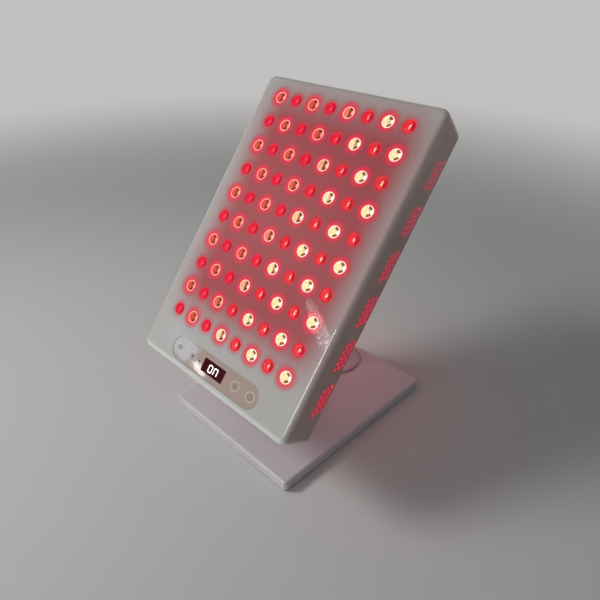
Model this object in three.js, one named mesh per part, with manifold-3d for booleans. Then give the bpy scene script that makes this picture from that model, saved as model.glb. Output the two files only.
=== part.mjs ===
// A red light therapy panel that tilts on a curved arm, which stands on a flat, weighted base.
// Millimetres, +Z up. The origin is on the table under the middle of the whole device, and the lenses
// face -Y.
// Panel pieces are drawn in the panel's own frame: X across, Y into the depth, Z up along the face,
// with the hinge axis at the origin. The panel group leans that frame back.

import * as THREE from 'three';
import { mergeVertices } from 'three/addons/utils/BufferGeometryUtils.js';
import Module from 'manifold-3d';

const wasm = await Module();
wasm.setup();

// General clearances
const GAP = 0.3; // between pieces that touch
const SCREW_GAP = 0.3; // around a screw's shank and head
const OVERRUN = 1; // how far a cut runs past the face it opens
const WELD = 1e-4; // vertices closer than this are one

// Panel
const PANEL_W = 197;
const PANEL_H = 300;
const PANEL_D = 36;
const PANEL_CORNER_R = 9;
const PANEL_EDGE_R = 6;
const WALL = 2.5;
const COVER_T = 2.5;
const COVER_INSET = 0.4; // the rear cover lies this far inside the rim
const LEAN_DEG = 40.75; // how far the panel leans back from upright in the photographed pose

// Lenses
const LED_COLS = 8;
const LED_ROWS = 10;
const LED_PITCH_X = 20.3;
const LED_PITCH_Z = 25.3;
const LED_RISE = 14.4; // the grid's middle above the panel's middle
const LENS_R = 6;
const LENS_BASE_R = 4.4;
const LENS_SINK = 0.5; // the lens rim below the panel's face
const LENS_DISH = 2.4;
const LENS_RIM = 0.7;
const LENS_H = 6.2;
const LENS_SIDES = 8;
const BOARD_T = 1.6;
const BOARD_MARGIN = 9;

// Heat sink
const SINK_BASE_T = 3;
const SINK_FIN_H = 8;
const SINK_FIN_T = 1.6;
const SINK_FIN_COUNT = 13;
const SINK_FIN_SHARE = 0.52; // share of the sink's height that carries fins, from its top

// Control window
const STRIP_W = 115;
const STRIP_H = 23;
const STRIP_FROM_EDGE = 19.2; // its middle above the panel's lower edge
const STRIP_SINK = 0.5;
const STRIP_T = 0.8;
const DISPLAY_W = 28.4;
const DISPLAY_H = 12.8;
const DISPLAY_T = 5.5;
const KEY_R = 5;
const KEY_INNER_X = 29.4;
const KEY_OUTER_X = 48.2;

// Vents in the two long side walls
const VENT_GROUPS = 6;
const VENT_GROUP_PITCH = 41.8;
const VENT_DEPTH = 26.5; // the middle of a group behind the panel's face
const VENT_ROWS = 5;
const VENT_COLS = 3;
const VENT_PITCH_Z = 5.4;
const VENT_PITCH_Y = 5;
const VENT_R = 1.5;
const VENT_SIDES = 4;

// Housing posts and screws
const POST_R = 3.6;
const POST_FROM_SIDE = 9.5;
const POST_FROM_END = 10.5;
const SCREW_R = 1.5;
const SCREW_HEAD_R = 2.9;
const SCREW_HEAD_T = 1.7;
const SCREW_L = 12;

// Fan
const FAN_W = 60;
const FAN_T = 12;
const FAN_CORNER_R = 5;
const FAN_BORE_R = 28;
const FAN_TIP_GAP = 1.5;
const FAN_HUB_R = 12;
const FAN_RISE = 76; // the fan's middle above the panel's middle
const FAN_BLADES = 7;
const FAN_BLADE_T = 1.4;
const FAN_BLADE_PITCH_DEG = 40;
const FAN_STRUT_W = 5;
const FAN_STRUT_T = 2;
const FAN_SPINDLE_R = 2;
const GRILLE_R = 27;
const GRILLE_SLOT_W = 4.2;
const GRILLE_SLOTS = 6;
const GRILLE_PITCH = 8;

// Driver board
const DRIVER_W = 116;
const DRIVER_H = 56;
const DRIVER_DROP = 62; // its middle below the panel's middle
const DRIVER_PARTS_H = 14;

// Power inlet
const INLET_X = 52;
const INLET_FROM_EDGE = 22;
const INLET_W = 26;
const INLET_H = 17;
const INLET_FLANGE = 3;
const INLET_FLANGE_T = 1.8;
const INLET_L = 18;
const SOCKET_W = 17;
const SOCKET_H = 10;
const SOCKET_DEEP = 13;
const SOCKET_PIN_R = 1.2;
const SOCKET_PIN_PITCH = 8.6;
const SOCKET_PIN_L = 10;

// Hinge
const HINGE_DEPTH = 52; // the hinge axis behind the panel's face
const BRACKET_W = 62;
const BRACKET_H = 50;
const BRACKET_T = 3;
const BRACKET_SCREW_X = 24;
const BRACKET_SCREW_Z = 18;
const BOSS_R = 3.6;
const BOSS_L = 6;
const EAR_R = 11.5;
const EAR_T = 5;
const BARREL_R = 11;
const BARREL_W = 26;
const WASHER_T = 1.2;
const WASHER_R = 9.5;
const PIN_R = 4;
const CAP_R = 8;
const CAP_T = 4;
const CAP_TOP_SHARE = 0.75; // a cap's flat outer end against its width

// Base
const BASE_FRONT_W = 166;
const BASE_BACK_W = 214;
const BASE_DEPTH = 208;
const BASE_T = 12;
const BASE_CORNER_R = 3;
const BASE_EDGE_R = 2.8;
const BASE_WALL = 3;
const BOTTOM_T = 2.5;
const FOOT_OUT = 1.5; // how far the rubber feet stand out below the base
const FOOT_SINK = 1.2;
const FOOT_R = 8;
const FOOT_FROM_SIDE = 15;
const BASE_BOSS_R = 4;
const BASE_BOSS_FROM_SIDE = 34;
const BASE_SCREW_L = 8;

// Arm
const ARM_Y = 68.9; // the arm's foot behind the base's middle
const HINGE_AHEAD = 54.3; // the hinge axis ahead of the arm's foot
const HINGE_RISE = 164.5; // the hinge axis above the base's top
const ARM_FOOT_W = 36;
const ARM_FOOT_D = 24;
const ARM_TOP_W = 24;
const ARM_TOP_D = 14;
const ARM_STEPS = 10;
const ARM_AHEAD_SHARE = 0.35; // how far behind the hinge the arm's upper bend lies
const ARM_BOLT_X = 9;
const ARM_BOLT_R = 2.5;
const ARM_BOLT_HEAD_R = 4.5;
const ARM_BOLT_HEAD_T = 3;
const ARM_BOLT_L = 24;

// Oblong foot around the arm
const COLLAR_W = 77;
const COLLAR_D = 50;
const COLLAR_UP = 3; // above the base's top
const COLLAR_EDGE_R = 1.2;
const SEAM_W = 2.5;
const SEAM_DEEP = 1.6;

// Round shapes
const ARC_STEPS = 3;
const ROUND_SIDES = 16;
const SMALL_SIDES = 8;
const PILL_SHARE = 0.97; // how much of a pill's half height its corner radius takes

const PANEL_BACK_Y = PANEL_D - COVER_INSET - COVER_T; // inner face of the rear cover
const BASE_TOP_Z = FOOT_OUT + BASE_T;
const HINGE_Z = BASE_TOP_Z + HINGE_RISE;
const HINGE_Y = ARM_Y - HINGE_AHEAD;
const FACE_Y = -HINGE_DEPTH; // the panel's face in the panel frame
const LENS_FRONT_Y = FACE_Y + LENS_SINK;
const BOARD_Y = LENS_FRONT_Y + LENS_H;
const SINK_Y = BOARD_Y + BOARD_T + GAP;
const STRIP_Z = STRIP_FROM_EDGE - PANEL_H / 2;
const EAR_INNER_X = BARREL_W / 2 + WASHER_T + 2 * GAP;
const EAR_OUTER_X = EAR_INNER_X + EAR_T;

// Frames: a shape in its XY plane is carried to the panel's face, or to a plane across X
const TO_FACE = new THREE.Matrix4().makeRotationX(Math.PI / 2);
const TO_SIDE = new THREE.Matrix4().makeBasis(
  new THREE.Vector3(0, 1, 0),
  new THREE.Vector3(0, 0, 1),
  new THREE.Vector3(1, 0, 0),
);

// A closed geometry becomes a solid that can be joined and cut.
function solid(geometry) {
  const bare = geometry.clone();
  bare.deleteAttribute('normal');
  bare.deleteAttribute('uv');
  const merged = mergeVertices(bare, WELD);
  const vertProperties = new Float32Array(merged.attributes.position.array);
  const triVerts = new Uint32Array(merged.index.array);
  return new wasm.Manifold(new wasm.Mesh({ numProp: 3, vertProperties, triVerts }));
}

// A solid becomes a flat-shaded geometry again.
function geometryOf(body) {
  const mesh = body.getMesh();
  const geometry = new THREE.BufferGeometry();
  geometry.setAttribute('position', new THREE.BufferAttribute(mesh.vertProperties, 3));
  geometry.setIndex(new THREE.BufferAttribute(mesh.triVerts, 1));
  const flat = geometry.toNonIndexed();
  flat.computeVertexNormals();
  return flat;
}

// Points of a convex outline, counter-clockwise, with every corner rounded to the same radius.
function roundedOutline(corners, radius, steps = ARC_STEPS) {
  const points = [];
  corners.forEach((corner, i) => {
    const before = corners[(i + corners.length - 1) % corners.length];
    const after = corners[(i + 1) % corners.length];
    const inward = before.clone().sub(corner).normalize();
    const onward = after.clone().sub(corner).normalize();
    const half = inward.angleTo(onward) / 2;
    const middle = inward.clone().add(onward).normalize();
    const centre = corner.clone().addScaledVector(middle, radius / Math.sin(half));
    const first = Math.atan2(inward.x, -inward.y);
    const turn = Math.PI - 2 * half;
    for (let k = 0; k <= steps; k++) {
      const angle = first + (turn * k) / steps;
      points.push(new THREE.Vector2(
        centre.x + radius * Math.cos(angle),
        centre.y + radius * Math.sin(angle),
      ));
    }
  });
  return points;
}

function rectangle(width, height) {
  return [
    new THREE.Vector2(-width / 2, -height / 2),
    new THREE.Vector2(width / 2, -height / 2),
    new THREE.Vector2(width / 2, height / 2),
    new THREE.Vector2(-width / 2, height / 2),
  ];
}

// A slab with straight sides from an outline, with optional round holes of [x, y, radius].
function prism(outline, thickness, holes = []) {
  const shape = new THREE.Shape(outline);
  for (const [x, y, radius] of holes) {
    shape.holes.push(new THREE.Path().absarc(x, y, radius, 0, 2 * Math.PI, true));
  }
  return new THREE.ExtrudeGeometry(shape, {
    depth: thickness,
    bevelEnabled: false,
    curveSegments: SMALL_SIDES / 2,
  });
}

// A slab parallel to the panel's face, from one depth to another in the panel frame.
function faceSlab(outline, fromY, toY, holes = []) {
  return prism(outline, toY - fromY, holes).applyMatrix4(TO_FACE).translate(0, toY, 0);
}

// A cylinder along X, Y or Z between two places on that axis.
function rod(axis, radius, from, to, sides = ROUND_SIDES) {
  const geometry = new THREE.CylinderGeometry(radius, radius, to - from, sides);
  geometry.translate(0, (from + to) / 2, 0);
  if (axis === 'x') geometry.rotateZ(-Math.PI / 2);
  if (axis === 'z') geometry.rotateX(Math.PI / 2);
  return geometry;
}

function box(width, depth, height, x = 0, y = 0, z = 0) {
  return new THREE.BoxGeometry(width, depth, height).translate(x, y, z);
}

// A closed body through convex rings that all have as many points.
function loft(rings) {
  const count = rings[0].length;
  const positions = rings.flat().flatMap((p) => [p.x, p.y, p.z]);
  const index = [];
  for (let r = 0; r + 1 < rings.length; r++) {
    for (let i = 0; i < count; i++) {
      const a = r * count + i;
      const b = r * count + ((i + 1) % count);
      index.push(a, b, b + count, a, b + count, a + count);
    }
  }
  const last = (rings.length - 1) * count;
  for (let i = 1; i + 1 < count; i++) {
    index.push(0, i + 1, i, last, last + i, last + i + 1);
  }
  const geometry = new THREE.BufferGeometry();
  geometry.setAttribute('position', new THREE.Float32BufferAttribute(positions, 3));
  geometry.setIndex(index);
  return geometry;
}

// Where a corner of the trapezoid base lies after its sides are drawn in by an inset.
function baseCorners(inset) {
  const slope = Math.atan2((BASE_BACK_W - BASE_FRONT_W) / 2, BASE_DEPTH);
  const sideShift = inset / Math.cos(slope);
  const halfAt = (y) => {
    const share = y / BASE_DEPTH + 1 / 2;
    return THREE.MathUtils.lerp(BASE_FRONT_W, BASE_BACK_W, share) / 2 - sideShift;
  };
  const y = BASE_DEPTH / 2 - inset;
  return [
    new THREE.Vector2(-halfAt(-y), -y),
    new THREE.Vector2(halfAt(-y), -y),
    new THREE.Vector2(halfAt(y), y),
    new THREE.Vector2(-halfAt(y), y),
  ];
}

function baseRing(inset, z) {
  const radius = Math.max(BASE_CORNER_R - inset, BASE_CORNER_R / 4);
  return roundedOutline(baseCorners(inset), radius).map((p) => new THREE.Vector3(p.x, p.y, z));
}

function panelOutline(inset) {
  const radius = Math.max(PANEL_CORNER_R - inset, PANEL_CORNER_R / 4);
  return roundedOutline(rectangle(PANEL_W - 2 * inset, PANEL_H - 2 * inset), radius);
}

// Rings that run into the depth turn the other way round, so that the loft faces out.
function panelRing(inset, depth) {
  return panelOutline(inset).map((p) => new THREE.Vector3(p.x, FACE_Y + depth, p.y)).reverse();
}

function lensPlaces() {
  const places = [];
  for (let row = 0; row < LED_ROWS; row++) {
    for (let col = 0; col < LED_COLS; col++) {
      const x = (col - (LED_COLS - 1) / 2) * LED_PITCH_X;
      const z = LED_RISE + ((LED_ROWS - 1) / 2 - row) * LED_PITCH_Z;
      places.push([x, z]);
    }
  }
  return places;
}

function postPlaces() {
  const x = PANEL_W / 2 - POST_FROM_SIDE;
  const z = PANEL_H / 2 - POST_FROM_END;
  return [[-x, -z], [x, -z], [x, 0], [x, z], [-x, z], [-x, 0]];
}

function bracketScrewPlaces() {
  const x = BRACKET_SCREW_X;
  const z = BRACKET_SCREW_Z;
  return [[-x, -z], [x, -z], [x, z], [-x, z]];
}

function baseScrewPlaces() {
  const [frontLeft, frontRight, backRight, backLeft] = baseCorners(BASE_BOSS_FROM_SIDE);
  return [frontLeft, frontRight, backRight, backLeft].map((p) => [p.x, p.y]);
}

function footPlaces() {
  const [frontLeft, frontRight, backRight, backLeft] = baseCorners(FOOT_FROM_SIDE);
  return { front_left: frontLeft, front_right: frontRight, back_right: backRight, back_left: backLeft };
}

// Slanted groups of staggered holes, as cutters that run through both side walls.
function ventCutters() {
  const cutters = [];
  for (let group = 0; group < VENT_GROUPS; group++) {
    const groupZ = (group - (VENT_GROUPS - 1) / 2) * VENT_GROUP_PITCH;
    for (let col = 0; col < VENT_COLS; col++) {
      const across = col - (VENT_COLS - 1) / 2;
      for (let row = 0; row < VENT_ROWS; row++) {
        const along = row - (VENT_ROWS - 1) / 2;
        const hole = rod('x', VENT_R, -PANEL_W / 2 - OVERRUN, PANEL_W / 2 + OVERRUN, VENT_SIDES);
        const y = FACE_Y + VENT_DEPTH + across * VENT_PITCH_Y;
        const z = groupZ + along * VENT_PITCH_Z + across * VENT_PITCH_Z / 2;
        cutters.push(hole.translate(0, y, z));
      }
    }
  }
  return cutters;
}

function makeHousing() {
  const outer = [];
  for (let k = 0; k <= ARC_STEPS; k++) {
    const angle = (k / ARC_STEPS) * (Math.PI / 2);
    const inset = PANEL_EDGE_R * (1 - Math.sin(angle));
    const depth = PANEL_EDGE_R * (1 - Math.cos(angle));
    outer.push(panelRing(inset, depth));
  }
  outer.push(panelRing(0, PANEL_D));
  let body = solid(loft(outer));

  const hollow = solid(loft([
    panelRing(PANEL_EDGE_R, WALL),
    panelRing(WALL, PANEL_EDGE_R),
    panelRing(WALL, PANEL_D + OVERRUN),
  ]));
  body = body.subtract(hollow);

  const postEndY = FACE_Y + PANEL_BACK_Y - GAP;
  for (const [x, z] of postPlaces()) {
    const post = rod('y', POST_R, FACE_Y + WALL / 2, postEndY, SMALL_SIDES).translate(x, 0, z);
    const pilotFrom = postEndY - SCREW_L;
    const pilot = rod('y', SCREW_R + SCREW_GAP, pilotFrom, postEndY + OVERRUN, SMALL_SIDES);
    body = body.add(solid(post)).subtract(solid(pilot.translate(x, 0, z)));
  }

  for (const [x, z] of lensPlaces()) {
    const hole = rod('y', LENS_R + GAP, FACE_Y - OVERRUN, FACE_Y + WALL + OVERRUN, LENS_SIDES);
    body = body.subtract(solid(hole.translate(x, 0, z)));
  }

  for (const cutter of ventCutters()) body = body.subtract(solid(cutter));

  // The pill-shaped recess of the control window, and the opening behind the display
  const recess = roundedOutline(rectangle(STRIP_W, STRIP_H), (STRIP_H / 2) * PILL_SHARE, 2 * ARC_STEPS);
  const recessDeep = STRIP_SINK + STRIP_T + GAP;
  const recessCut = faceSlab(recess, FACE_Y - OVERRUN, FACE_Y + recessDeep).translate(0, 0, STRIP_Z);
  const displayCut = box(
    DISPLAY_W + 2 * GAP, 2 * WALL + OVERRUN, DISPLAY_H + 2 * GAP, 0, FACE_Y + WALL, STRIP_Z,
  );
  return geometryOf(body.subtract(solid(recessCut)).subtract(solid(displayCut)));
}

// The board that carries the lens cups: each cup widens to its rim and is dished.
function makeLedBoard() {
  const width = (LED_COLS - 1) * LED_PITCH_X + 2 * BOARD_MARGIN;
  const height = (LED_ROWS - 1) * LED_PITCH_Z + 2 * BOARD_MARGIN;
  let body = solid(box(width, BOARD_T, height, 0, BOARD_Y + BOARD_T / 2, LED_RISE));
  const dishR = LENS_R - LENS_RIM;
  const profile = [
    new THREE.Vector2(0, LENS_FRONT_Y + LENS_DISH),
    new THREE.Vector2(dishR, LENS_FRONT_Y),
    new THREE.Vector2(LENS_R, LENS_FRONT_Y),
    new THREE.Vector2(LENS_BASE_R, BOARD_Y + BOARD_T / 2),
    new THREE.Vector2(0, BOARD_Y + BOARD_T / 2),
  ];
  const cup = new THREE.LatheGeometry(profile, LENS_SIDES);
  for (const [x, z] of lensPlaces()) {
    body = body.add(solid(cup.clone().translate(x, 0, z)));
  }
  return geometryOf(body);
}

// A flat plate against the LED board, with upright fins on its upper part.
function makeHeatSink() {
  const width = (LED_COLS - 1) * LED_PITCH_X + 2 * BOARD_MARGIN;
  const height = (LED_ROWS - 1) * LED_PITCH_Z + 2 * BOARD_MARGIN;
  let body = solid(box(width, SINK_BASE_T, height, 0, SINK_Y + SINK_BASE_T / 2, LED_RISE));
  const finL = height * SINK_FIN_SHARE;
  const finZ = LED_RISE + (height - finL) / 2;
  const finY = SINK_Y + (SINK_BASE_T + SINK_FIN_H) / 2;
  for (let i = 0; i < SINK_FIN_COUNT; i++) {
    const x = ((i + 1 / 2) / SINK_FIN_COUNT - 1 / 2) * width;
    body = body.add(solid(box(SINK_FIN_T, SINK_BASE_T + SINK_FIN_H, finL, x, finY, finZ)));
  }
  return geometryOf(body);
}

// The rear cover with its grille slots, screw holes, bracket bosses and inlet opening.
function makeRearCover() {
  const fromY = FACE_Y + PANEL_BACK_Y;
  const toY = fromY + COVER_T;
  const holes = postPlaces().map(([x, z]) => [x, z, SCREW_R + SCREW_GAP]);
  let body = solid(faceSlab(panelOutline(WALL + GAP), fromY, toY, holes));
  for (const [x, z] of bracketScrewPlaces()) {
    const boss = rod('y', BOSS_R, fromY - BOSS_L, fromY + COVER_T / 2, SMALL_SIDES);
    const pilot = rod('y', SCREW_R + SCREW_GAP, fromY - BOSS_L - OVERRUN, toY + OVERRUN, SMALL_SIDES);
    body = body.add(solid(boss.translate(x, 0, z))).subtract(solid(pilot.translate(x, 0, z)));
  }
  for (let i = 0; i < GRILLE_SLOTS; i++) {
    const x = (i - (GRILLE_SLOTS - 1) / 2) * GRILLE_PITCH;
    const slotH = 2 * Math.sqrt(GRILLE_R ** 2 - x ** 2);
    const slot = roundedOutline(rectangle(GRILLE_SLOT_W, slotH), (GRILLE_SLOT_W / 2) * PILL_SHARE, 2);
    body = body.subtract(solid(faceSlab(slot, fromY - OVERRUN, toY + OVERRUN).translate(x, 0, FAN_RISE)));
  }
  const inletZ = INLET_FROM_EDGE - PANEL_H / 2;
  const opening = box(INLET_W + 2 * GAP, 2 * COVER_T + OVERRUN, INLET_H + 2 * GAP, INLET_X, toY, inletZ);
  return geometryOf(body.subtract(solid(opening)));
}

function makeFanFrame() {
  const toY = FACE_Y + PANEL_BACK_Y - GAP;
  const fromY = toY - FAN_T;
  const outline = roundedOutline(rectangle(FAN_W, FAN_W), FAN_CORNER_R);
  const middleY = (fromY + toY) / 2;
  let body = solid(faceSlab(outline, fromY, toY));
  body = body.subtract(solid(rod('y', FAN_BORE_R, fromY - OVERRUN, toY + OVERRUN, ROUND_SIDES)));
  const strutY = fromY + FAN_STRUT_T / 2;
  const strut = solid(box(2 * FAN_BORE_R + FAN_STRUT_W, FAN_STRUT_T, FAN_STRUT_W, 0, strutY, 0));
  body = body.add(strut).add(strut.rotate([0, 90, 0]));
  body = body.add(solid(rod('y', FAN_HUB_R, fromY, fromY + FAN_STRUT_T, ROUND_SIDES)));
  body = body.add(solid(rod('y', FAN_SPINDLE_R, fromY + FAN_STRUT_T / 2, middleY, SMALL_SIDES)));
  return geometryOf(body).translate(0, 0, FAN_RISE);
}

// A hub cup on the spindle, with blades that are pitched boxes cut to the tip circle.
function makeFanRotor() {
  const toY = FACE_Y + PANEL_BACK_Y - 2 * GAP;
  const fromY = FACE_Y + PANEL_BACK_Y - GAP - FAN_T + FAN_STRUT_T + GAP;
  const bladeFromY = fromY + FAN_STRUT_T / 2;
  const tipR = FAN_BORE_R - FAN_TIP_GAP;
  let blades = null;
  for (let i = 0; i < FAN_BLADES; i++) {
    const blade = box(tipR, FAN_BLADE_T, (toY - fromY) * 2, tipR / 2 + FAN_HUB_R / 2, 0, 0);
    blade.rotateX(THREE.MathUtils.degToRad(FAN_BLADE_PITCH_DEG)).translate(0, (fromY + toY) / 2, 0);
    const turned = solid(blade.rotateY((i / FAN_BLADES) * 2 * Math.PI));
    blades = blades ? blades.add(turned) : turned;
  }
  blades = blades.intersect(solid(rod('y', tipR, bladeFromY, toY - FAN_STRUT_T / 2, ROUND_SIDES)));
  const hub = solid(rod('y', FAN_HUB_R, fromY, toY, ROUND_SIDES));
  const pilotEnd = FACE_Y + PANEL_BACK_Y - GAP - FAN_T / 2 + GAP;
  const pilot = solid(rod('y', FAN_SPINDLE_R + GAP, fromY - OVERRUN, pilotEnd, SMALL_SIDES));
  return geometryOf(hub.add(blades).subtract(pilot)).translate(0, 0, FAN_RISE);
}

// The power supply's board, seated on the rear cover, with its larger parts towards the front.
function makeDriverBoard() {
  const toY = FACE_Y + PANEL_BACK_Y - GAP;
  const fromY = toY - BOARD_T;
  const partShares = [
    [-0.34, 0.1, 0.22, 0.6],
    [0, 0, 0.26, 0.7],
    [0.32, -0.2, 0.14, 0.4],
    [0.34, 0.26, 0.16, 0.3],
  ];
  let body = solid(box(DRIVER_W, BOARD_T, DRIVER_H, 0, (fromY + toY) / 2, 0));
  partShares.forEach(([atShare, upShare, wideShare, highShare], i) => {
    const tall = DRIVER_PARTS_H * (1 - i / (partShares.length + 1));
    const part = box(
      DRIVER_W * wideShare, tall + BOARD_T / 2, DRIVER_H * highShare,
      DRIVER_W * atShare, fromY - tall / 2 + BOARD_T / 4, DRIVER_H * upShare,
    );
    body = body.add(solid(part));
  });
  return geometryOf(body).translate(0, 0, -DRIVER_DROP);
}

// The control board behind the window, with a round pad behind each touch key.
function makeControlBoard() {
  const fromY = FACE_Y + STRIP_SINK + STRIP_T + GAP + DISPLAY_T + GAP;
  const edge = roundedOutline(rectangle(STRIP_W, STRIP_H - 2 * GAP), BOARD_T);
  let body = solid(faceSlab(edge, fromY, fromY + BOARD_T).translate(0, 0, STRIP_Z));
  for (const x of [-KEY_OUTER_X, -KEY_INNER_X, KEY_INNER_X, KEY_OUTER_X]) {
    const pad = rod('y', KEY_R, FACE_Y + WALL + GAP, fromY + BOARD_T / 2, SMALL_SIDES);
    body = body.add(solid(pad.translate(x, 0, STRIP_Z)));
  }
  return geometryOf(body);
}

function makeDisplay() {
  const fromY = FACE_Y + STRIP_SINK + STRIP_T + GAP;
  return box(DISPLAY_W, DISPLAY_T, DISPLAY_H, 0, fromY + DISPLAY_T / 2, STRIP_Z);
}

function makeControlWindow() {
  const fromY = FACE_Y + STRIP_SINK;
  const outline = rectangle(STRIP_W - 2 * GAP, STRIP_H - 2 * GAP);
  const pill = roundedOutline(outline, (STRIP_H / 2 - GAP) * PILL_SHARE, 2 * ARC_STEPS);
  return faceSlab(pill, fromY, fromY + STRIP_T).translate(0, 0, STRIP_Z);
}

// The inlet's flange lies on the rear cover, and its socket opens to the back around two pins.
function makeInlet() {
  const seatY = FACE_Y + PANEL_BACK_Y + COVER_T + GAP;
  const flange = rectangle(INLET_W + 2 * INLET_FLANGE, INLET_H + 2 * INLET_FLANGE);
  const outer = faceSlab(roundedOutline(flange, INLET_FLANGE), seatY, seatY + INLET_FLANGE_T);
  const bodyFromY = seatY + INLET_FLANGE_T - INLET_L;
  const core = faceSlab(rectangle(INLET_W, INLET_H), bodyFromY, seatY + INLET_FLANGE_T / 2);
  const mouth = roundedOutline(rectangle(SOCKET_W, SOCKET_H), (SOCKET_H / 2) * PILL_SHARE);
  const socketFromY = seatY + INLET_FLANGE_T - SOCKET_DEEP;
  const socket = faceSlab(mouth, socketFromY, seatY + INLET_FLANGE_T + OVERRUN);
  let body = solid(outer).add(solid(core)).subtract(solid(socket));
  for (const side of [-1, 1]) {
    const hole = rod('y', SOCKET_PIN_R + GAP, bodyFromY - OVERRUN, socketFromY + OVERRUN, SMALL_SIDES);
    body = body.subtract(solid(hole.translate((side * SOCKET_PIN_PITCH) / 2, 0, 0)));
  }
  return geometryOf(body).translate(INLET_X, 0, INLET_FROM_EDGE - PANEL_H / 2);
}

function makeInletPin(side) {
  const seatY = FACE_Y + PANEL_BACK_Y + COVER_T + GAP + INLET_FLANGE_T;
  const pin = rod('y', SOCKET_PIN_R, seatY - INLET_L, seatY - SOCKET_DEEP + SOCKET_PIN_L, SMALL_SIDES);
  const x = INLET_X + (side * SOCKET_PIN_PITCH) / 2;
  return pin.translate(x, 0, INLET_FROM_EDGE - PANEL_H / 2);
}

// The bracket's plate lies on the rear cover, and its two ears hold the hinge pin.
function makeBracket() {
  const seatY = FACE_Y + PANEL_BACK_Y + COVER_T + GAP;
  const outline = roundedOutline(rectangle(BRACKET_W, BRACKET_H), BRACKET_T);
  let body = solid(faceSlab(outline, seatY, seatY + BRACKET_T));
  const ear = new THREE.Shape();
  ear.moveTo(seatY + BRACKET_T / 2, -BRACKET_SCREW_Z);
  ear.lineTo(0, -EAR_R);
  ear.absarc(0, 0, EAR_R, -Math.PI / 2, Math.PI / 2, false);
  ear.lineTo(seatY + BRACKET_T / 2, BRACKET_SCREW_Z);
  const options = { depth: EAR_T, bevelEnabled: false, curveSegments: SMALL_SIDES };
  const plate = new THREE.ExtrudeGeometry(ear, options).applyMatrix4(TO_SIDE);
  body = body.add(solid(plate.clone().translate(EAR_INNER_X, 0, 0)));
  body = body.add(solid(plate.clone().translate(-EAR_OUTER_X, 0, 0)));
  body = body.subtract(solid(rod('x', PIN_R + GAP, -BRACKET_W / 2, BRACKET_W / 2, ROUND_SIDES)));
  for (const [x, z] of bracketScrewPlaces()) {
    const hole = rod('y', SCREW_R + SCREW_GAP, seatY - OVERRUN, seatY + BRACKET_T + OVERRUN, SMALL_SIDES);
    body = body.subtract(solid(hole.translate(x, 0, z)));
  }
  return geometryOf(body);
}

// A screw along Y whose head rests at seatY and whose shank runs towards the front.
function makeScrew(x, z, seatY, length) {
  const profile = [
    new THREE.Vector2(0, seatY - length),
    new THREE.Vector2(SCREW_R, seatY - length),
    new THREE.Vector2(SCREW_R, seatY),
    new THREE.Vector2(SCREW_HEAD_R, seatY),
    new THREE.Vector2(SCREW_HEAD_R, seatY + SCREW_HEAD_T),
    new THREE.Vector2(0, seatY + SCREW_HEAD_T),
  ];
  return new THREE.LatheGeometry(profile, SMALL_SIDES).translate(x, 0, z);
}

function makeBaseShell() {
  const rings = [baseRing(0, FOOT_OUT)];
  for (let k = 0; k <= ARC_STEPS; k++) {
    const angle = (k / ARC_STEPS) * (Math.PI / 2);
    const inset = BASE_EDGE_R * (1 - Math.cos(angle));
    rings.push(baseRing(inset, BASE_TOP_Z - BASE_EDGE_R * (1 - Math.sin(angle))));
  }
  let body = solid(loft(rings));
  body = body.subtract(solid(loft([
    baseRing(BASE_WALL, FOOT_OUT - OVERRUN),
    baseRing(BASE_WALL, BASE_TOP_Z - BASE_WALL),
  ])));
  for (const [x, y] of baseScrewPlaces()) {
    const bossEnd = FOOT_OUT + BOTTOM_T + GAP;
    const boss = rod('z', BASE_BOSS_R, bossEnd, BASE_TOP_Z - BASE_WALL / 2, SMALL_SIDES);
    const pilotEnd = FOOT_OUT + BASE_SCREW_L + GAP;
    const pilot = rod('z', SCREW_R + SCREW_GAP, bossEnd - OVERRUN, pilotEnd, SMALL_SIDES);
    body = body.add(solid(boss.translate(x, y, 0))).subtract(solid(pilot.translate(x, y, 0)));
  }
  const seam = roundedOutline(
    rectangle(COLLAR_W + 2 * SEAM_W, COLLAR_D + 2 * SEAM_W),
    (COLLAR_D / 2 + SEAM_W) * PILL_SHARE,
    2 * ARC_STEPS,
  );
  const pocket = prism(seam, SEAM_DEEP + OVERRUN).translate(0, ARM_Y, BASE_TOP_Z - SEAM_DEEP);
  body = body.subtract(solid(pocket));
  for (const side of [-1, 1]) {
    const hole = rod('z', ARM_BOLT_R + SCREW_GAP, FOOT_OUT, BASE_TOP_Z + OVERRUN, SMALL_SIDES);
    body = body.subtract(solid(hole.translate(side * ARM_BOLT_X, ARM_Y, 0)));
  }
  return geometryOf(body);
}

// The steel plate that fills the base between the bottom cover and the shell's top.
function makeBallast() {
  const fromZ = FOOT_OUT + BOTTOM_T + GAP;
  const toZ = BASE_TOP_Z - BASE_WALL - GAP;
  const outline = roundedOutline(baseCorners(BASE_WALL + GAP), BASE_CORNER_R);
  const holes = baseScrewPlaces().map(([x, y]) => [x, y, BASE_BOSS_R + GAP]);
  for (const side of [-1, 1]) holes.push([side * ARM_BOLT_X, ARM_Y, ARM_BOLT_R + SCREW_GAP]);
  let body = solid(prism(outline, toZ - fromZ, holes).translate(0, 0, fromZ));
  for (const side of [-1, 1]) {
    const seat = rod('z', ARM_BOLT_HEAD_R + SCREW_GAP, fromZ - OVERRUN, fromZ + ARM_BOLT_HEAD_T + GAP);
    body = body.subtract(solid(seat.translate(side * ARM_BOLT_X, ARM_Y, 0)));
  }
  return geometryOf(body);
}

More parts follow.
